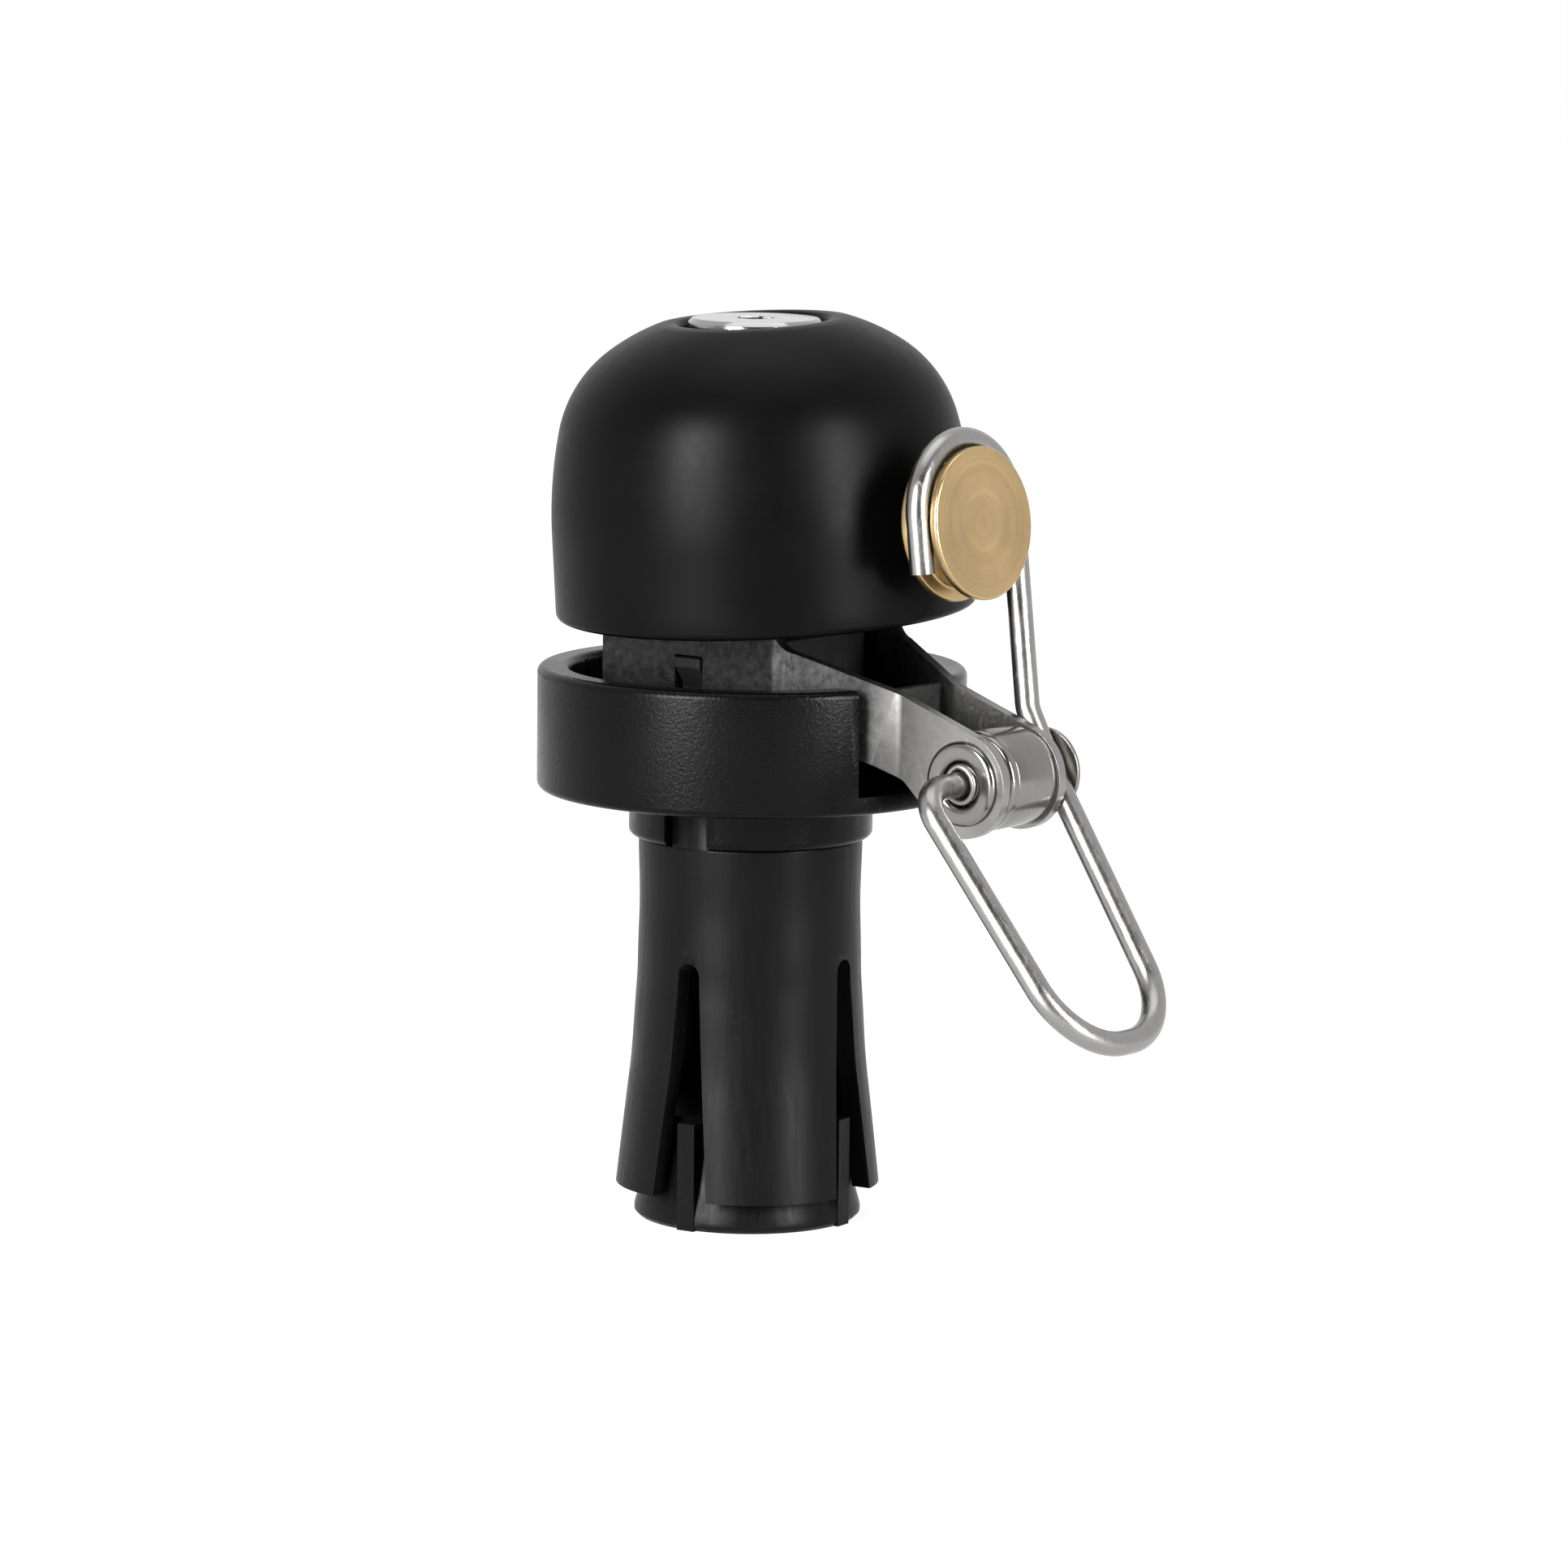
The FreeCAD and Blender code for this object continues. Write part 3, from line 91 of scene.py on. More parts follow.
# pieces on the pivot, with lengths along its axis
CAP_R, CAP_START, CAP_END = 3.1, 5.58, 6.03
EAR_FACE = 3.6                            # from the pivot's middle to an ear's outer face
BORE_R, RIVET_R, FLANGE_R, FLANGE_FACE = 1.62, 2.05, 3.0, 4.07
DRUM_R, DRUM_HALF = 3.55, 2.44


# --------------------------------------------------------------------------
# Mesh helpers
# --------------------------------------------------------------------------
def mesh_object(name, verts, faces, sharp=35.0):
    """Mesh from vertices in millimetres; smooth, with creases at sharp edges."""
    me = bpy.data.meshes.new(name)
    me.from_pydata([tuple(c * MM for c in v) for v in verts], [], faces)
    me.validate()
    me.polygons.foreach_set("use_smooth", [True] * len(me.polygons))
    me.set_sharp_from_angle(angle=math.radians(sharp))
    ob = bpy.data.objects.new(name, me)
    bpy.context.scene.collection.objects.link(ob)
    return ob


def rounded(points, steps=6):
    """Outline whose corners (x, y, radius) are replaced by arcs."""
    out = []
    count = len(points)
    for i, (x, y, r) in enumerate(points):
        p = Vector((x, y))
        a = Vector(points[i - 1][:2]) - p
        b = Vector(points[(i + 1) % count][:2]) - p
        if r <= 0 or a.length < 1e-9 or b.length < 1e-9:
            out.append((x, y))
            continue
        a.normalize()
        b.normalize()
        opening = a.angle(b)
        reach = r / math.tan(opening / 2)
        start, end = p + a * reach, p + b * reach
        centre = p + (a + b).normalized() * (r / math.sin(opening / 2))
        u, v = start - centre, end - centre
        sweep = math.pi - opening
        turn = 1 if u.x * v.y - u.y * v.x > 0 else -1
        for k in range(steps + 1):
            t = turn * sweep * k / steps
            c, s = math.cos(t), math.sin(t)
            out.append((centre.x + u.x * c - u.y * s, centre.y + u.x * s + u.y * c))
    return out


def lathe(name, outline, segments=192, sharp=35.0):
    """Closed outline of (radius, height) turned about Z."""
    verts, rings = [], []
    for r, z in outline:
        if abs(r) < 1e-6:
            rings.append([len(verts)] * segments)
            verts.append((0.0, 0.0, z))
        else:
            rings.append(list(range(len(verts), len(verts) + segments)))
            verts += [(r * math.cos(TAU * k / segments), r * math.sin(TAU * k / segments), z)
                      for k in range(segments)]
    faces = []
    for i in range(len(rings)):
        a, b = rings[i], rings[(i + 1) % len(rings)]
        if a[0] == a[1] and b[0] == b[1]:
            continue
        for k in range(segments):
            n = (k + 1) % segments
            corner = [a[k], a[n], b[n], b[k]]
            face = [v for j, v in enumerate(corner) if v != corner[j - 1]]
            if len(face) > 2:
                faces.append(face)
    return mesh_object(name, verts, faces, sharp)


def shift(v):
    """Translation matrix for a vector in millimetres."""
    return Matrix.Translation(Vector(v) * MM)


def corner_path(corners, arc_steps=24, line_step=1.2):
    """Points along straight runs joined by tangent arcs; corners are (point, bend radius)."""
    points = [corners[0][0].copy()]

    def run_to(target):
        start = points[-1]
        steps = max(1, int((target - start).length / line_step))
        for k in range(1, steps + 1):
            points.append(start.lerp(target, k / steps))

    for i in range(1, len(corners) - 1):
        p, r = corners[i]
        a = (corners[i - 1][0] - p).normalized()
        b = (corners[i + 1][0] - p).normalized()
        opening = a.angle(b)
        reach = r / math.tan(opening / 2)
        centre = p + (a + b).normalized() * (r / math.sin(opening / 2))
        start = p + a * reach
        if (start - points[-1]).length > 1e-3:
            run_to(start)
        u = start - centre
        axis = u.cross(p + b * reach - centre).normalized()
        sweep = math.pi - opening
        for k in range(1, arc_steps + 1):
            points.append(centre + Matrix.Rotation(sweep * k / arc_steps, 3, axis) @ u)
    run_to(corners[-1][0])
    return points


def tube(name, points, radius, sides, dishes):
    """Round rod along points, its two cut ends dished by so much."""
    tangents = [(points[min(i + 1, len(points) - 1)] - points[max(i - 1, 0)]).normalized()
                for i in range(len(points))]
    side = tangents[0].orthogonal().normalized()
    stations = []
    for p, t in zip(points, tangents):
        side = (side - t * side.dot(t)).normalized()
        stations.append((p, side.copy(), t.cross(side)))
    first, last = stations[0], stations[-1]

    def dished_end(station, inward, depth, steps=4):
        """Rings from the bottom of the dish out to the rod's edge."""
        p, u, v = station
        falls = [depth * (1 - math.sin(math.pi / 2 * k / steps)) for k in range(steps)]
        return [(p + inward * fall, u, v, radius - fall) for fall in falls]

    rings = dished_end(first, tangents[0], dishes[0])
    rings += [(p, u, v, radius) for p, u, v in stations
              if (p - first[0]).length > dishes[0] and (p - last[0]).length > dishes[1]]
    rings += dished_end(last, -tangents[-1], dishes[1])[::-1]
    verts, faces = [], []
    for p, u, v, r in rings:
        verts += [tuple(p + (u * math.cos(TAU * k / sides) + v * math.sin(TAU * k / sides)) * r)
                  for k in range(sides)]
    for j in range(len(rings) - 1):
        for k in range(sides):
            n = (k + 1) % sides
            faces.append([j * sides + k, j * sides + n, (j + 1) * sides + n, (j + 1) * sides + k])
    faces.append(list(range(sides))[::-1])
    faces.append([(len(rings) - 1) * sides + k for k in range(sides)])
    return mesh_object(name, verts, faces, 50)


def bevel(ob, width, limit_method):
    """Round edges: all the sharp ones ("ANGLE") or the ones given a weight ("WEIGHT")."""
    mod = ob.modifiers.new("bevel", "BEVEL")
    mod.width = width * MM
    mod.segments = 3
    mod.limit_method = limit_method
    mod.angle_limit = math.radians(30.0)
    mod.harden_normals = True


def soften(node, width):
    """Round the edges of a CAD node, whose faces are joined up first."""
    weld = node.modifiers.new("weld", "WELD")
    weld.merge_threshold = 0.002 * MM
    bevel(node, width, "ANGLE")


# --------------------------------------------------------------------------
# Material helpers
# --------------------------------------------------------------------------
class Look:
    """Small wrapper for building one node material."""

    def __init__(self, name):
        self.mat = bpy.data.materials.new(name)
        self.mat.use_nodes = True
        self.tree = self.mat.node_tree
        self.bsdf = next(n for n in self.tree.nodes if n.type == "BSDF_PRINCIPLED")
        self.coord = self.tree.nodes.new("ShaderNodeTexCoord").outputs["Object"]
        self.normal = None

    def node(self, kind, **props):
        n = self.tree.nodes.new("ShaderNode" + kind)
        for key, x in props.items():
            setattr(n, key, x)
        return n

    def link(self, a, b):
        self.tree.links.new(a, b)

    def put(self, socket, x):
        """Constant or link into a shader socket."""
        target = self.bsdf.inputs[socket]
        if isinstance(x, (int, float, tuple)):
            target.default_value = x
        else:
            self.link(x, target)

    def stretch(self, scale):
        """Coordinates scaled along each axis, for a pattern with a direction."""
        m = self.node("Mapping")
        m.inputs["Scale"].default_value = scale
        self.link(self.coord, m.inputs["Vector"])
        return m.outputs["Vector"]

    def noise(self, scale, detail=4.0, rough=0.5, vector=None, distort=0.0):
        n = self.node("TexNoise")
        n.inputs["Scale"].default_value = scale
        n.inputs["Detail"].default_value = detail
        n.inputs["Roughness"].default_value = rough
        n.inputs["Distortion"].default_value = distort
        self.link(vector or self.coord, n.inputs["Vector"])
        return n.outputs["Fac"]

    def fit(self, value, span, result=(0.0, 1.0)):
        """Value moved from one span to another and clamped to it."""
        n = self.node("MapRange")
        n.inputs["From Min"].default_value, n.inputs["From Max"].default_value = span
        n.inputs["To Min"].default_value, n.inputs["To Max"].default_value = result
        self.link(value, n.inputs["Value"])
        return n.outputs["Result"]

    def mix(self, fac, a, b):
        """Mix two colours by a mask."""
        n = self.node("Mix", data_type="RGBA")
        self.link(fac, n.inputs[0])
        for socket, x in ((n.inputs[6], a), (n.inputs[7], b)):
            if isinstance(x, tuple):
                socket.default_value = x
            else:
                self.link(x, socket)
        return n.outputs[2]

    def maths(self, op, a, b=None):
        """Sum, product or another operation on masks and numbers."""
        n = self.node("Math", operation=op)
        for socket, x in zip(n.inputs, (a, b)):
            if isinstance(x, (int, float)):
                socket.default_value = x
            elif x is not None:
                self.link(x, socket)
        return n.outputs[0]

    def bump(self, height, distance, strength):
        """Relief, its distance in millimetres, on top of any relief already there."""
        n = self.node("Bump")
        n.inputs["Strength"].default_value = strength
        n.inputs["Distance"].default_value = distance * MM
        self.link(height, n.inputs["Height"])
        if self.normal is not None:
            self.link(self.normal, n.inputs["Normal"])
        self.normal = n.outputs["Normal"]
        self.put("Normal", self.normal)

    def axis_parts(self):
        """The object's own X, Y and Z."""
        n = self.node("SeparateXYZ")
        self.link(self.coord, n.inputs[0])
        return n.outputs


def grey(v, tint=(1.0, 1.0, 1.0)):
    return (v * tint[0], v * tint[1], v * tint[2], 1.0)


def around(middle, below, above):
    return (middle - below, middle + above)


def black_coat(name, base, rough, gloss, pebble=0.0, pebble_size=None):
    """Satin black paint with faint smudges, smooth or pebbled; pebbles are in millimetres."""
    look = Look(name)
    smudge = look.noise(scale=90.0, detail=5.0, rough=0.6)
    fine = look.noise(scale=1400.0, detail=3.0, rough=0.5)
    look.put("Base Color", look.mix(look.fit(smudge, (0.35, 0.7)), grey(base, (1, 1, 1.03)),
                                    grey(base * 1.6, (1, 1, 1.04))))
    look.put("Roughness", look.maths("ADD", look.fit(smudge, (0.3, 0.7), around(rough, 0.04, 0.06)),
                                     look.fit(fine, (0.3, 0.7), (-0.02, 0.02))))
    look.put("Specular IOR Level", gloss)
    if pebble:
        cells = look.noise(scale=1000.0 / pebble_size, detail=2.0, rough=0.55, distort=0.3)
        look.bump(cells, distance=pebble, strength=0.9)
    else:
        look.bump(fine, distance=0.004, strength=0.5)
    return look.mat


def black_nylon(name, base, rough, gloss):
    """Moulded plastic with drag marks and pale scuffs."""
    look = Look(name)
    cloud = look.noise(scale=160.0, detail=4.0, rough=0.6)
    drag = look.noise(scale=420.0, detail=3.0, rough=0.6, vector=look.stretch((6.0, 6.0, 0.35)))
    scuff = look.fit(look.noise(scale=330.0, detail=8.0, rough=0.72), (0.62, 0.74))
    grain = look.noise(scale=2600.0, detail=2.0, rough=0.5)
    clean = look.mix(cloud, grey(base * 0.8), grey(base * 1.35))
    look.put("Base Color", look.mix(look.maths("MULTIPLY", scuff, 0.35), clean,
                                    grey(base * 4.5, (1, 0.98, 0.95))))
    look.put("Roughness", look.maths("ADD", look.fit(drag, (0.3, 0.7), around(rough, 0.07, 0.07)),
                                     look.maths("MULTIPLY", scuff, 0.12)))
    look.put("Specular IOR Level", gloss)
    look.bump(drag, distance=0.012, strength=0.5)
    look.bump(grain, distance=0.006, strength=0.6)
    return look.mat


def steel(name, tone, rough, grain=(1.0, 1.0, 1.0), grain_scale=500.0, grain_depth=0.004,
          stain=0.25, shade_span=None):
    """Stainless steel: directional grain, dim patches and fine scratches.

    shade_span = (x0, x1), in metres: painted shade, a dark mottled grey, covers the sheet before x0
    and fades out by x1; the sheet is rougher there too.
    """
    look = Look(name)
    lines = look.noise(scale=grain_scale, detail=3.0, rough=0.7, vector=look.stretch(grain))
    patch = look.noise(scale=120.0, detail=6.0, rough=0.65)
    scratch = look.fit(look.noise(scale=700.0, detail=2.0, rough=0.5, distort=1.2,
                                  vector=look.stretch((1.0, 7.0, 0.6))), (0.66, 0.7))
    colour = look.mix(look.fit(patch, (0.4, 0.75), (0.0, stain * 2)),
                      grey(tone, (1.0, 0.985, 0.95)), grey(tone * 0.72, (1.0, 0.95, 0.88)))
    wear = look.maths("ADD", look.fit(patch, (0.35, 0.7), (-0.02, 0.05)),
                      look.maths("MULTIPLY", scratch, 0.12))
    roughness = look.maths("ADD", look.fit(lines, (0.3, 0.7), around(rough, 0.05, 0.06)), wear)
    if shade_span:
        # painted shade: towards low x, next to the ring, the colour goes to a dark grey with a
        # noise mottle, and the roughness rises
        painted_shade = look.fit(look.axis_parts()[0], shade_span, (1.0, 0.0))
        shade_mottle = look.fit(look.noise(scale=1500.0, detail=3.0, rough=0.7), (0.35, 0.7))
        colour = look.mix(painted_shade, colour, look.mix(shade_mottle, grey(0.020), grey(0.046)))
        roughness = look.maths("ADD", roughness, look.maths("MULTIPLY", painted_shade, 0.22))
    look.put("Metallic", 1.0)
    look.put("Base Color", colour)
    look.put("Roughness", roughness)
    look.bump(lines, distance=grain_depth, strength=0.6)
    return look.mat


def turned(name, tone, tint, rough, pitch, depth, stain=0.3):
    """Metal turned about the object's own Z: rings at a pitch, both in millimetres."""
    look = Look(name)
    x, y, z = look.axis_parts()
    radius = look.maths("SQRT", look.maths("ADD", look.maths("MULTIPLY", x, x),
                                           look.maths("MULTIPLY", y, y)))
    section = look.node("CombineXYZ")
    look.link(radius, section.inputs[0])
    look.link(z, section.inputs[1])
    rings = look.noise(scale=1000.0 / pitch, detail=4.0, rough=0.75, vector=section.outputs[0])
    broad = look.noise(scale=280.0, detail=2.0, rough=0.5, vector=section.outputs[0])
    patch = look.noise(scale=150.0, detail=5.0, rough=0.6)

    def blend(a, share, b):
        return look.maths("ADD", look.maths("MULTIPLY", a, share),
                          look.maths("MULTIPLY", b, 1.0 - share))

    look.put("Metallic", 1.0)
    look.put("Base Color", look.mix(look.fit(blend(rings, 0.55, patch), (0.35, 0.65),
                                             (0.0, stain * 2)),
                                    grey(tone, tint), grey(tone * 0.66, tint)))
    look.put("Roughness", look.fit(blend(rings, 0.6, broad), (0.3, 0.7), around(rough, 0.06, 0.09)))
    look.bump(rings, distance=depth, strength=0.8)
    look.bump(broad, distance=depth * 2.0, strength=0.6)
    return look.mat


def dress(ob, mat):
    """Give the object this one material."""
    ob.data.materials.clear()
    ob.data.materials.append(mat)


# --------------------------------------------------------------------------
# Materials
# --------------------------------------------------------------------------
DOME = black_coat("dome_satin_black", base=0.0008, rough=0.37, gloss=0.060)
RING = black_coat("ring_pebbled_black", base=0.0009, rough=0.25, gloss=0.095,
                  pebble=0.028, pebble_size=0.22)
RUBBER = black_coat("rubber_black", base=0.010, rough=0.62, gloss=0.3)
NYLON = black_nylon("nylon_black", base=0.0018, rough=0.38, gloss=0.090)
POST = black_nylon("post_black", base=0.008, rough=0.55, gloss=0.2)
BUSH = black_nylon("bush_natural", base=0.42, rough=0.5, gloss=0.45)
# the plates carry painted shade next to the ring, fading out between x = 14 mm and x = 21.5 mm
BRACKET = steel("bracket_steel", tone=0.27, rough=0.28, grain_scale=3200.0, grain_depth=0.0003,
                stain=0.06, shade_span=(0.0140, 0.0215))
WIRE = steel("wire_steel", tone=0.29, rough=0.27, grain=(3.0, 3.0, 0.5), grain_scale=600.0,
             grain_depth=0.001, stain=0.2)
SPRING = steel("spring_steel", tone=0.3, rough=0.3)
ZINC = steel("zinc_steel", tone=0.4, rough=0.35)
POLISHED = turned("polished_steel", tone=0.25, tint=(1.0, 0.98, 0.94), rough=0.19,
                  pitch=0.16, depth=0.003)
CAP = turned("cap_steel", tone=0.26, tint=(1.0, 0.96, 0.9), rough=0.28, pitch=0.2, depth=0.004)
BRASS = turned("hammer_brass", tone=0.56, tint=(1.0, 0.71, 0.36), rough=0.25,
               pitch=0.14, depth=0.012, stain=0.55)
CHROME = turned("screw_chrome", tone=0.36, tint=(1.0, 1.0, 1.01), rough=0.14,
                pitch=0.2, depth=0.005, stain=0.2)

# --------------------------------------------------------------------------
# Carried-over CAD nodes
# --------------------------------------------------------------------------
# node, material and edge radius; a radius of 0 leaves the edges as they are
OUTFIT = [
    ("base_ring", RING, 0.12), ("striker_bracket", BRACKET, 0.09), ("core_post", POST, 0.15),
    ("expander_wedge", NYLON, 0.22), ("wedge_nut", ZINC, 0.1), ("clamp_screw", CHROME, 0.06),
    ("dome", DOME, 0.0), ("dome_seat", RUBBER, 0.1), ("dome_washer", POST, 0.08),
    ("pivot_eyelet", POLISHED, 0.08), ("pivot_bush", BUSH, 0.05), ("spring_drum", POLISHED, 0.0),
    ("drum_washers", BRACKET, 0.04), ("return_spring", SPRING, 0.0),
    ("striker_wire", WIRE, 0.0), ("hammer", BRASS, 0.06), ("axle_cap", CAP, 0.06),
    ("expander_sleeve", NYLON, 0.1),
] + [("sleeve_leg_%d" % (leg + 1), NYLON, 0.1) for leg in range(4)]

for name, mat, edge_radius in OUTFIT:
    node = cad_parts[name]
    dress(node, mat)
    if edge_radius:
        soften(node, edge_radius)


def stand_in(ob, mat, node, body):
    """Dress a new piece, show it instead of its CAD node and let it move with the body."""
    dress(ob, mat)
    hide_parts(node)
    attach(ob, body)


# --------------------------------------------------------------------------
# Dome
# --------------------------------------------------------------------------
def arc_run(knots, direction, steps=20):
    """Points along tangent arcs through the knots, leaving the first along direction."""
    points = [Vector(knots[0])]
    for a, b in zip(knots, knots[1:]):
        a, b = Vector(a), Vector(b)
        normal = Vector((-direction.y, direction.x))
        chord = b - a
        radius = chord.length_squared / (2 * chord.dot(normal))
        centre = a + normal * radius
        u, v = a - centre, b - centre
        sweep = math.atan2(u.x * v.y - u.y * v.x, u.dot(v))
        for k in range(1, steps + 1):
            t = sweep * k / steps
            points.append(centre + Vector((u.x * math.cos(t) - u.y * math.sin(t),
                                           u.x * math.sin(t) + u.y * math.cos(t))))
        direction = Vector((-v.y, v.x)) / radius
    return points


def dome_outline():
    """Outline of the dome's wall: up the outside, over the dimple and down the inside."""
    inner = DOME_R - DOME_WALL
    underside = DIMPLE_FLOOR - DOME_WALL
    curve = arc_run([(DOME_R, DOME_STRAIGHT)] + DOME_SHOULDERS + [DOME_CREST], Vector((0, 1)))
    rim = rounded([(inner, 20.0, 0), (inner, DOME_RIM, 0.55), (DOME_R, DOME_RIM, 0.5),
                   (DOME_R, 20.0, 0)])[1:-1]
    wall = [(DOME_R, DOME_RIM + 1.5 + k * 0.9) for k in range(5)]
    # the first point only gives the direction in which the crest is reached
    dimple = rounded([(8.0, 33.3, 0), (DOME_CREST[0] - 0.35, DOME_CREST[1], 0.6),
                      (DIMPLE_MOUTH, DOME_CREST[1], 0.55), (DIMPLE_R, DIMPLE_FLOOR, 0.5),
                      (SCREW_HOLE_R, DIMPLE_FLOOR, 0.15), (SCREW_HOLE_R, underside, 0.15),
                      (DIMPLE_R + DOME_WALL, underside, 0.3)])[1:]
    inside = []
    for i, p in enumerate(curve):
        t = (curve[min(i + 1, len(curve) - 1)] - curve[max(i - 1, 0)]).normalized()
        q = p - Vector((t.y, -t.x)) * DOME_WALL
        if q.x > DIMPLE_R + DOME_WALL + 0.15:
            inside.append(tuple(q))
    corner = (DIMPLE_R + DOME_WALL, inside[-1][1] - 0.1)
    return rim + wall + [tuple(p) for p in curve[:-1]] + dimple + [corner] + inside[::-1]


def make_dome():
    ob = lathe("bell_dome", dome_outline(), 256, 30)
    middle = shift((0, 0, DIMPLE_FLOOR))
    axis = Vector((-math.sin(LEAN_WAY), math.cos(LEAN_WAY), 0))
    ob.data.transform(middle @ Matrix.Rotation(LEAN, 4, axis) @ middle.inverted())
    stand_in(ob, DOME, "dome", "bell_frame")


make_dome()


# --------------------------------------------------------------------------
# Expander sleeve: each quarter runs from the collar down into one flexing leg
# --------------------------------------------------------------------------
def smooth_bend(depth):
    """Outward bend at a depth, as a smooth curve through LEG_BEND."""
    if depth <= LEG_BEND[1][0]:
        return 0.0
    for i in range(1, len(LEG_BEND) - 1):
        (x0, y0), (x1, y1) = LEG_BEND[i], LEG_BEND[i + 1]
        if depth <= x1 + 1e-6:
            before = LEG_BEND[i - 1]
            after = LEG_BEND[min(i + 2, len(LEG_BEND) - 1)]
            m0 = 0.0 if i == 1 else (y1 - before[1]) / (x1 - before[0])
            m1 = (after[1] - y0) / (after[0] - x0)
            h, t = x1 - x0, (depth - x0) / (x1 - x0)
            return (y0 * (1 + 2 * t) * (1 - t) ** 2 + h * m0 * t * (1 - t) ** 2
                    + y1 * t * t * (3 - 2 * t) + h * m1 * t * t * (t - 1))
    return LEG_BEND[-1][1]


# rows of a quarter: above the slot, round the slot's arch and down the open leg
COLLAR_ROWS, ARCH_ROWS, LEG_ROWS = 16, 12, 44
COLUMNS = 36                              # across one face of a quarter
ROW_WIDE = 2 * (COLUMNS + 1)              # points in a row: the outer face, then the inner


def quarter_depths():
    top, arch, tip = COLLAR_TOP, SLOT_ARCH, LEG_TIP
    depths = [top + (arch - SLOT_HALF - top) * k / COLLAR_ROWS for k in range(COLLAR_ROWS)]
    depths += [arch - SLOT_HALF * math.cos(math.pi / 2 * k / ARCH_ROWS)
               for k in range(ARCH_ROWS + 1)]
    return depths + [arch + (tip - arch) * k / LEG_ROWS for k in range(1, LEG_ROWS + 1)]


def slot_gap(depth):
    """Half width of the slot at a depth."""
    if depth <= SLOT_ARCH:
        return math.sqrt(max(0.0, SLOT_HALF ** 2 - (SLOT_ARCH - depth) ** 2))
    return SLOT_HALF + SLOT_FLARE * (depth - SLOT_ARCH) / (LEG_TIP - SLOT_ARCH)


def quarter_points(depths, turn):
    verts = []
    for depth in depths:
        waist = WAIST_CUT * math.exp(-((depth - WAIST_DEPTH) / WAIST_SPREAD) ** 2)
        outer = SLEEVE_R - waist
        for r in (outer, outer - SLEEVE_WALL):
            limit = math.pi / 4 - math.asin(slot_gap(depth) / r)
            for k in range(COLUMNS + 1):
                phi = limit * (2 * k / COLUMNS - 1)
                x, y = smooth_bend(depth) + r * math.cos(phi), r * math.sin(phi)
                verts.append((x * math.cos(turn) - y * math.sin(turn),
                              x * math.sin(turn) + y * math.cos(turn), -depth))
    return verts


def quarter_faces(row_count):
    faces = []
    inner = COLUMNS + 1
    for a in range(0, (row_count - 1) * ROW_WIDE, ROW_WIDE):
        b = a + ROW_WIDE
        for k in range(COLUMNS):
            faces.append([a + k, b + k, b + k + 1, a + k + 1])
            m = inner + k
            faces.append([a + m, a + m + 1, b + m + 1, b + m])
        faces.append([a, a + inner, b + inner, b])
        faces.append([a + COLUMNS, b + COLUMNS, b + ROW_WIDE - 1, a + ROW_WIDE - 1])
    low = (row_count - 1) * ROW_WIDE
    for k in range(COLUMNS):
        faces.append([k, k + 1, inner + k + 1, inner + k])
        faces.append([low + k, low + inner + k, low + inner + k + 1, low + k + 1])
    return faces


def weigh_open_edges(mesh, row_count):
    """Mark for bevelling the edges along the slots and round the leg's tip."""
    weight = mesh.attributes.new("bevel_weight_edge", "FLOAT", "EDGE")
    sides = (0, COLUMNS, COLUMNS + 1, ROW_WIDE - 1)
    for edge in mesh.edges:
        rows = [v // ROW_WIDE for v in edge.vertices]
        cols = [v % ROW_WIDE for v in edge.vertices]
        along = cols[0] == cols[1] and cols[0] in sides and min(rows) >= COLLAR_ROWS
        one_face = (cols[0] > COLUMNS) == (cols[1] > COLUMNS)
        if along or (rows[0] == rows[1] == row_count - 1 and one_face):
            weight.data[edge.index].value = 1.0


def make_quarter(index):
    number = index + 1
    depths = quarter_depths()
    verts = quarter_points(depths, KEY_ANGLE + math.pi / 4 + math.pi / 2 * index)
    ob = mesh_object("sleeve_quarter_%d" % number, verts, quarter_faces(len(depths)), 40)
    weigh_open_edges(ob.data, len(depths))
    bevel(ob, 0.14, "WEIGHT")
    dress(ob, NYLON)
    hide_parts("sleeve_leg_%d" % number)
    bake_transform(ob)


for index in range(4):
    make_quarter(index)


# --------------------------------------------------------------------------
# Striker: bent wire, hammer and cap
# --------------------------------------------------------------------------
ON_PIVOT = shift(PIVOT) @ Matrix.Rotation(-math.pi / 2, 4, "X")


def make_wire():
    up = Vector((-math.sin(HAMMER_TILT), 0, math.cos(HAMMER_TILT)))
    ring = GROOVE_R + WIRE_R + 0.03       # of the hook round the hammer's groove
    side = Vector((0, ring, 0))
    top = up * (ring + 0.6)
    corners = [
        (HAMMER_AT - side - up * 3.1, 0), (HAMMER_AT - side + top, ring - 0.01),
        (HAMMER_AT + side + top, ring - 0.01), (HAMMER_AT + side - up * 5.0, 12.0),
        (Vector((ELBOW[0], STRAND_Y, ELBOW[1])), 2.6),
        (Vector((KNEE[0], STRAND_Y, KNEE[1])), 6.0),
        (Vector((LOOP_TIP.x, TIP_FAR_Y, LOOP_TIP.z)), 5.5),
        (Vector((LOOP_TIP.x, TIP_NEAR_Y, LOOP_TIP.z)), 5.5),
        (Vector((PIVOT.x, AXLE_NEAR_Y, PIVOT.z)), 2.5),
        (Vector((PIVOT.x, AXLE_FAR_Y, PIVOT.z)), 0),
    ]
    ob = tube("bent_wire", corner_path(corners), WIRE_R, 36, (0.16, 0.1))
    stand_in(ob, WIRE, "striker_wire", "striker")


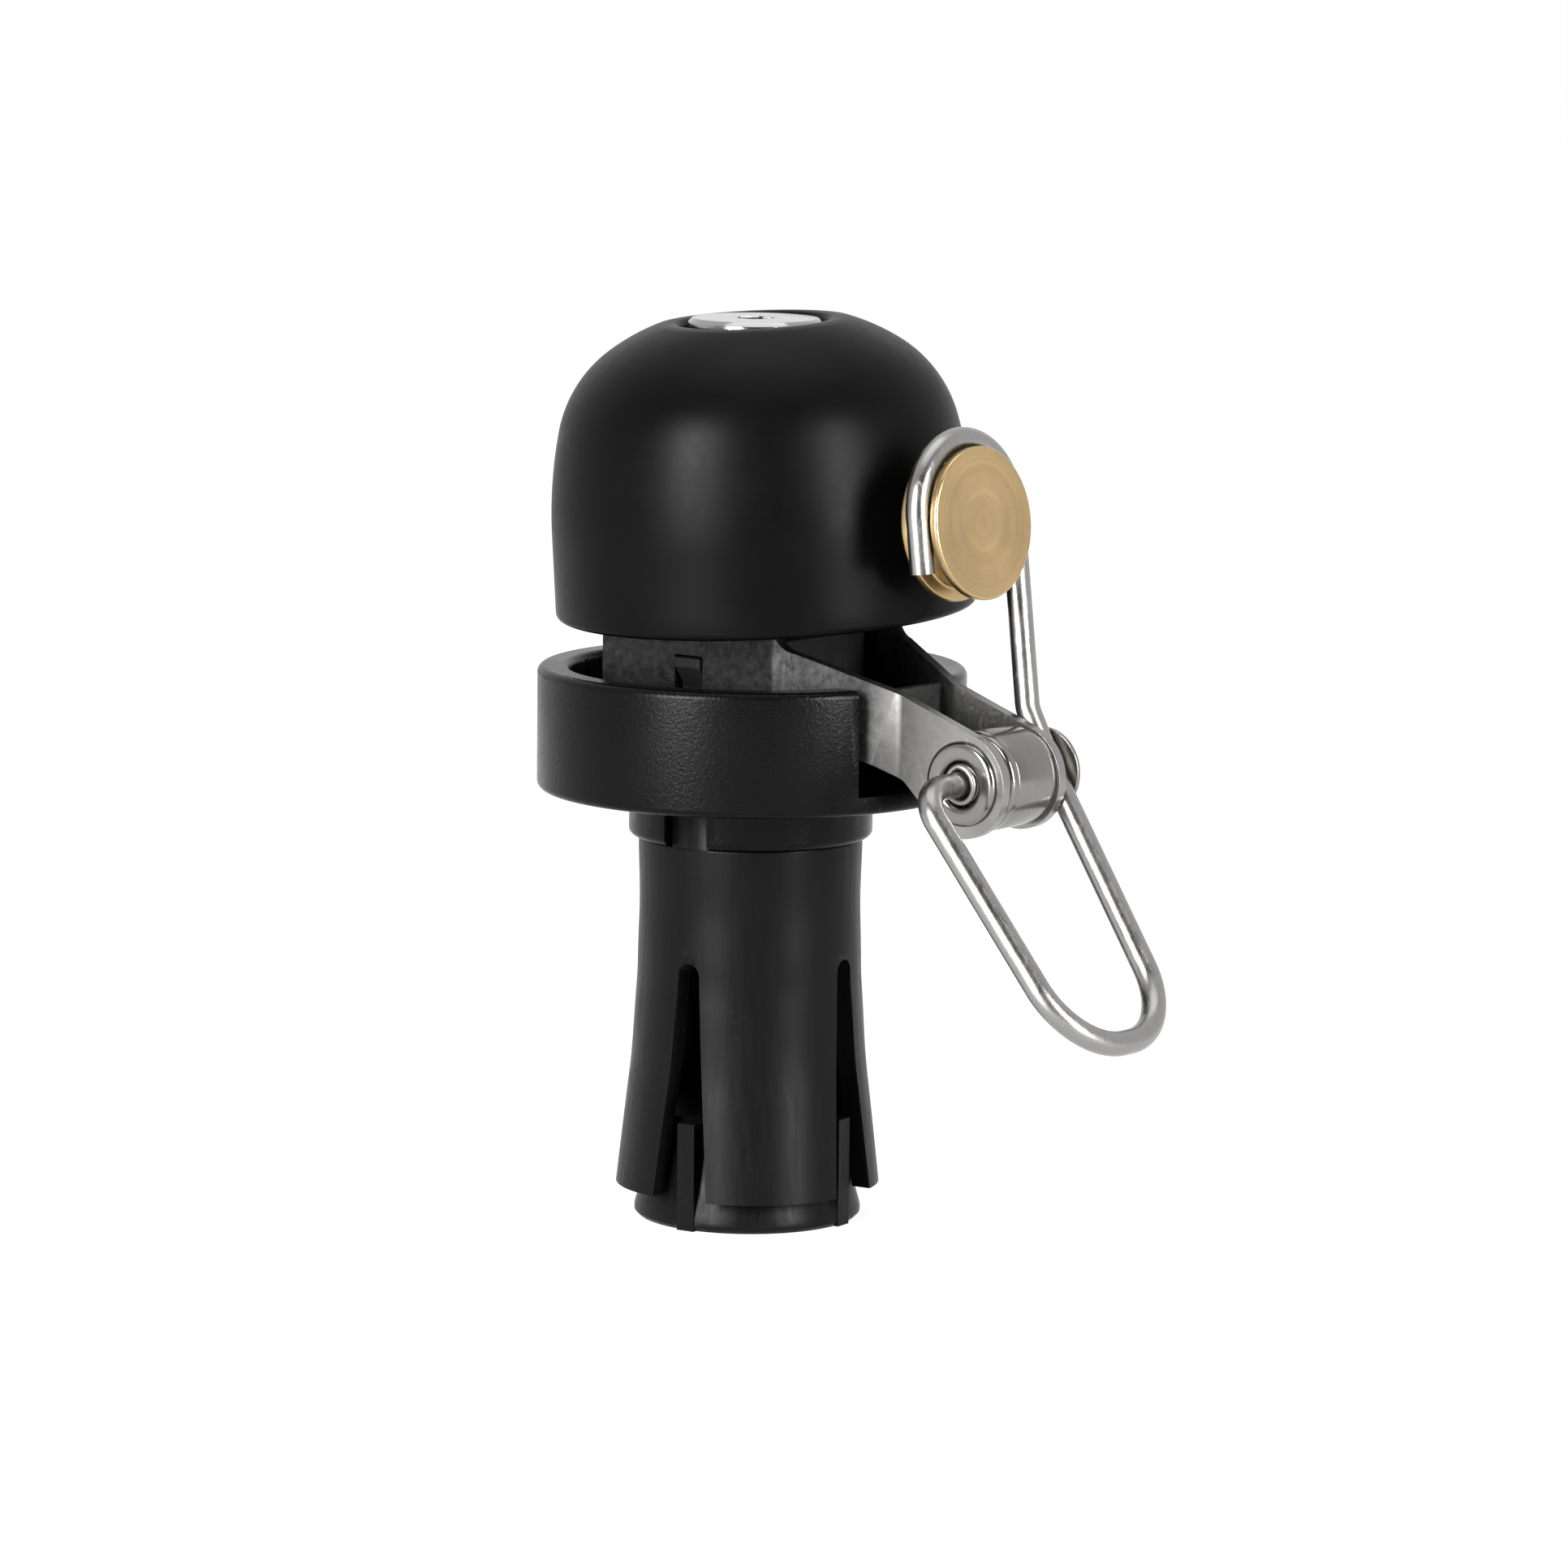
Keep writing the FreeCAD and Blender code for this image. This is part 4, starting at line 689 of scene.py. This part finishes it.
def make_hammer():
    """Grooved disc whose front face has two shallow turned rings."""
    front, back, r = HAMMER_FRONT, -HAMMER_BACK, HAMMER_R
    lip_r, lip = r - 0.02, GROOVE_HALF + 0.08
    outline = rounded([
        (0, back, 0), (r, back, 0.24), (lip_r, -lip, 0.1), (GROOVE_R, -GROOVE_HALF, 0.25),
        (GROOVE_R, GROOVE_HALF, 0.25), (lip_r, lip, 0.1), (r, front, 0.2),
        (4.25, front - 0.01, 0), (4.1, front - 0.05, 0), (3.9, front - 0.02, 0),
        (2.15, front - 0.03, 0), (2.05, front - 0.06, 0), (1.95, front - 0.04, 0),
        (0, front - 0.05, 0),
    ], 5)
    ob = lathe("brass_hammer", outline, 192, 32)
    ob.matrix_world = shift(HAMMER_AT) @ Matrix.Rotation(math.pi / 2 - HAMMER_TILT, 4, "Y")
    stand_in(ob, BRASS, "hammer", "striker")


def make_cap():
    """Disc on the far end of the axle, with the riveted end in its middle."""
    outline = rounded([
        (0, CAP_START, 0), (CAP_R, CAP_START, 0.1), (CAP_R, CAP_END - 0.12, 0.1),
        (CAP_R - 0.35, CAP_END, 0.3), (0.95, CAP_END - 0.08, 0.1), (0.7, CAP_END + 0.05, 0.1),
        (0, CAP_END + 0.09, 0),
    ], 5)
    ob = lathe("wire_cap", outline, 128, 40)
    ob.matrix_world = ON_PIVOT
    stand_in(ob, CAP, "axle_cap", "striker")


def make_eyelet():
    """Hollow rivet, its flange rolled over the near ear."""
    under_flange = -EAR_FACE - 0.02
    outline = rounded([
        (BORE_R, EAR_FACE, 0.05), (BORE_R, -EAR_FACE, 0), (BORE_R + 0.02, -FLANGE_FACE, 0.42),
        (FLANGE_R - 0.05, -FLANGE_FACE, 0.4), (FLANGE_R, under_flange, 0.12),
        (RIVET_R, under_flange, 0), (RIVET_R, EAR_FACE, 0.05),
    ], 8)
    ob = lathe("rolled_eyelet", outline[::-1], 128, 40)
    ob.matrix_world = ON_PIVOT
    stand_in(ob, POLISHED, "pivot_eyelet", "bell_frame")


def make_drum():
    """Spring's housing, with one fine groove near its end."""
    inner, groove = RIVET_R + 0.03, -DRUM_HALF + 0.8
    outline = rounded([
        (inner, -DRUM_HALF, 0), (DRUM_R, -DRUM_HALF, 0.35), (DRUM_R, groove - 0.05, 0),
        (DRUM_R - 0.03, groove, 0), (DRUM_R, groove + 0.06, 0), (DRUM_R, DRUM_HALF, 0.35),
        (inner, DRUM_HALF, 0),
    ], 6)
    ob = lathe("spring_housing", outline, 160, 30)
    ob.matrix_world = ON_PIVOT
    stand_in(ob, POLISHED, "spring_drum", "bell_frame")


make_wire()
make_hammer()
make_cap()
make_eyelet()
make_drum()


# --------------------------------------------------------------------------
# Floor
# --------------------------------------------------------------------------
FLOOR_HALF = 3000.0                       # millimetres
floor = mesh_object("floor", [(x * FLOOR_HALF, y * FLOOR_HALF, 0)
                              for x, y in ((-1, -1), (1, -1), (1, 1), (-1, 1))], [[0, 1, 2, 3]])
floor.location.z = WEDGE_BOTTOM * MM
paper = Look("floor_paper")
paper.put("Base Color", grey(0.20))
paper.put("Roughness", 0.9)
paper.put("Emission Color", grey(1.0))
paper.put("Emission Strength", 0.80)
dress(floor, paper.mat)


# --------------------------------------------------------------------------
# Camera
# --------------------------------------------------------------------------
def bearing(azimuth, elevation):
    """Unit vector: azimuth 0 is -Y and goes round towards +X."""
    return Vector((math.sin(azimuth) * math.cos(elevation),
                   -math.cos(azimuth) * math.cos(elevation), math.sin(elevation)))


AZIMUTH, ELEVATION, ROLL = math.radians(39.5), math.radians(8.5), math.radians(0.6)
DISTANCE, VIEW_WIDTH = 500.0, 113.05      # millimetres
AIM_RIGHT, AIM_UP = 2.37, 0.234           # of the origin, in the picture's own directions
SENSOR_WIDTH = 36.0

back = bearing(AZIMUTH, ELEVATION)
level = Vector((math.cos(AZIMUTH), math.sin(AZIMUTH), 0.0))
upward = back.cross(level)
right = level * math.cos(ROLL) + upward * math.sin(ROLL)
up = upward * math.cos(ROLL) - level * math.sin(ROLL)
eye = right * AIM_RIGHT + up * AIM_UP + back * DISTANCE

camera = bpy.data.cameras.new("camera")
camera.sensor_width = SENSOR_WIDTH
camera.lens = SENSOR_WIDTH * DISTANCE / VIEW_WIDTH
camera.clip_start, camera.clip_end = 0.01, 20.0
camera.dof.use_dof = False
cam = bpy.data.objects.new("camera", camera)
bpy.context.scene.collection.objects.link(cam)
cam.matrix_world = shift(eye) @ Matrix((right, up, back)).transposed().to_4x4()
bpy.context.scene.camera = cam

# --------------------------------------------------------------------------
# Light, in metres
# --------------------------------------------------------------------------
LIT_POINT = Vector((0.0, 0.0, 0.005))
LIGHT_AWAY = 0.6


def area_light(name, direction, size, power):
    """Rectangular light that faces the lit point from a direction."""
    lamp = bpy.data.lights.new(name, "AREA")
    lamp.shape = "RECTANGLE"
    lamp.size, lamp.size_y = size
    lamp.energy = power
    ob = bpy.data.objects.new(name, lamp)
    bpy.context.scene.collection.objects.link(ob)
    ob.location = LIT_POINT + direction * LIGHT_AWAY
    ob.rotation_mode = "QUATERNION"
    ob.rotation_quaternion = (LIT_POINT - ob.location).to_track_quat("-Z", "Y")


def beside_camera(side, height):
    """Direction so many degrees round from the camera and above the horizon."""
    return bearing(AZIMUTH + math.radians(side), math.radians(height))


area_light("left_box", beside_camera(-38, 17), (0.22, 0.38), 9.0)
area_light("right_box", beside_camera(46, 16), (0.16, 0.38), 6.2)
area_light("overhead", Vector((0.0, 0.0, 1.0)), (0.5, 0.5), 1.2)

# white tent behind and beside the object, open and darker on the camera's side
world = bpy.data.worlds.new("studio")
bpy.context.scene.world = world
world.use_nodes = True
sky = world.node_tree
background = sky.nodes["Background"]
background.inputs["Color"].default_value = grey(1.0)
way = sky.nodes.new("ShaderNodeTexCoord")
facing = sky.nodes.new("ShaderNodeVectorMath")
facing.operation = "DOT_PRODUCT"
facing.inputs[1].default_value = tuple(back)
tent = sky.nodes.new("ShaderNodeMapRange")
tent.interpolation_type = "SMOOTHSTEP"
for key, x in (("From Min", -0.15), ("From Max", 0.75), ("To Min", 1.0), ("To Max", 0.03)):
    tent.inputs[key].default_value = x
seen = sky.nodes.new("ShaderNodeLightPath")
strength = sky.nodes.new("ShaderNodeMath")
strength.operation = "MAXIMUM"
sky.links.new(way.outputs["Generated"], facing.inputs[0])
sky.links.new(facing.outputs["Value"], tent.inputs["Value"])
sky.links.new(tent.outputs["Result"], strength.inputs[0])
sky.links.new(seen.outputs["Is Camera Ray"], strength.inputs[1])
sky.links.new(strength.outputs[0], background.inputs["Strength"])
bpy.context.scene.view_settings.view_transform = "Standard"
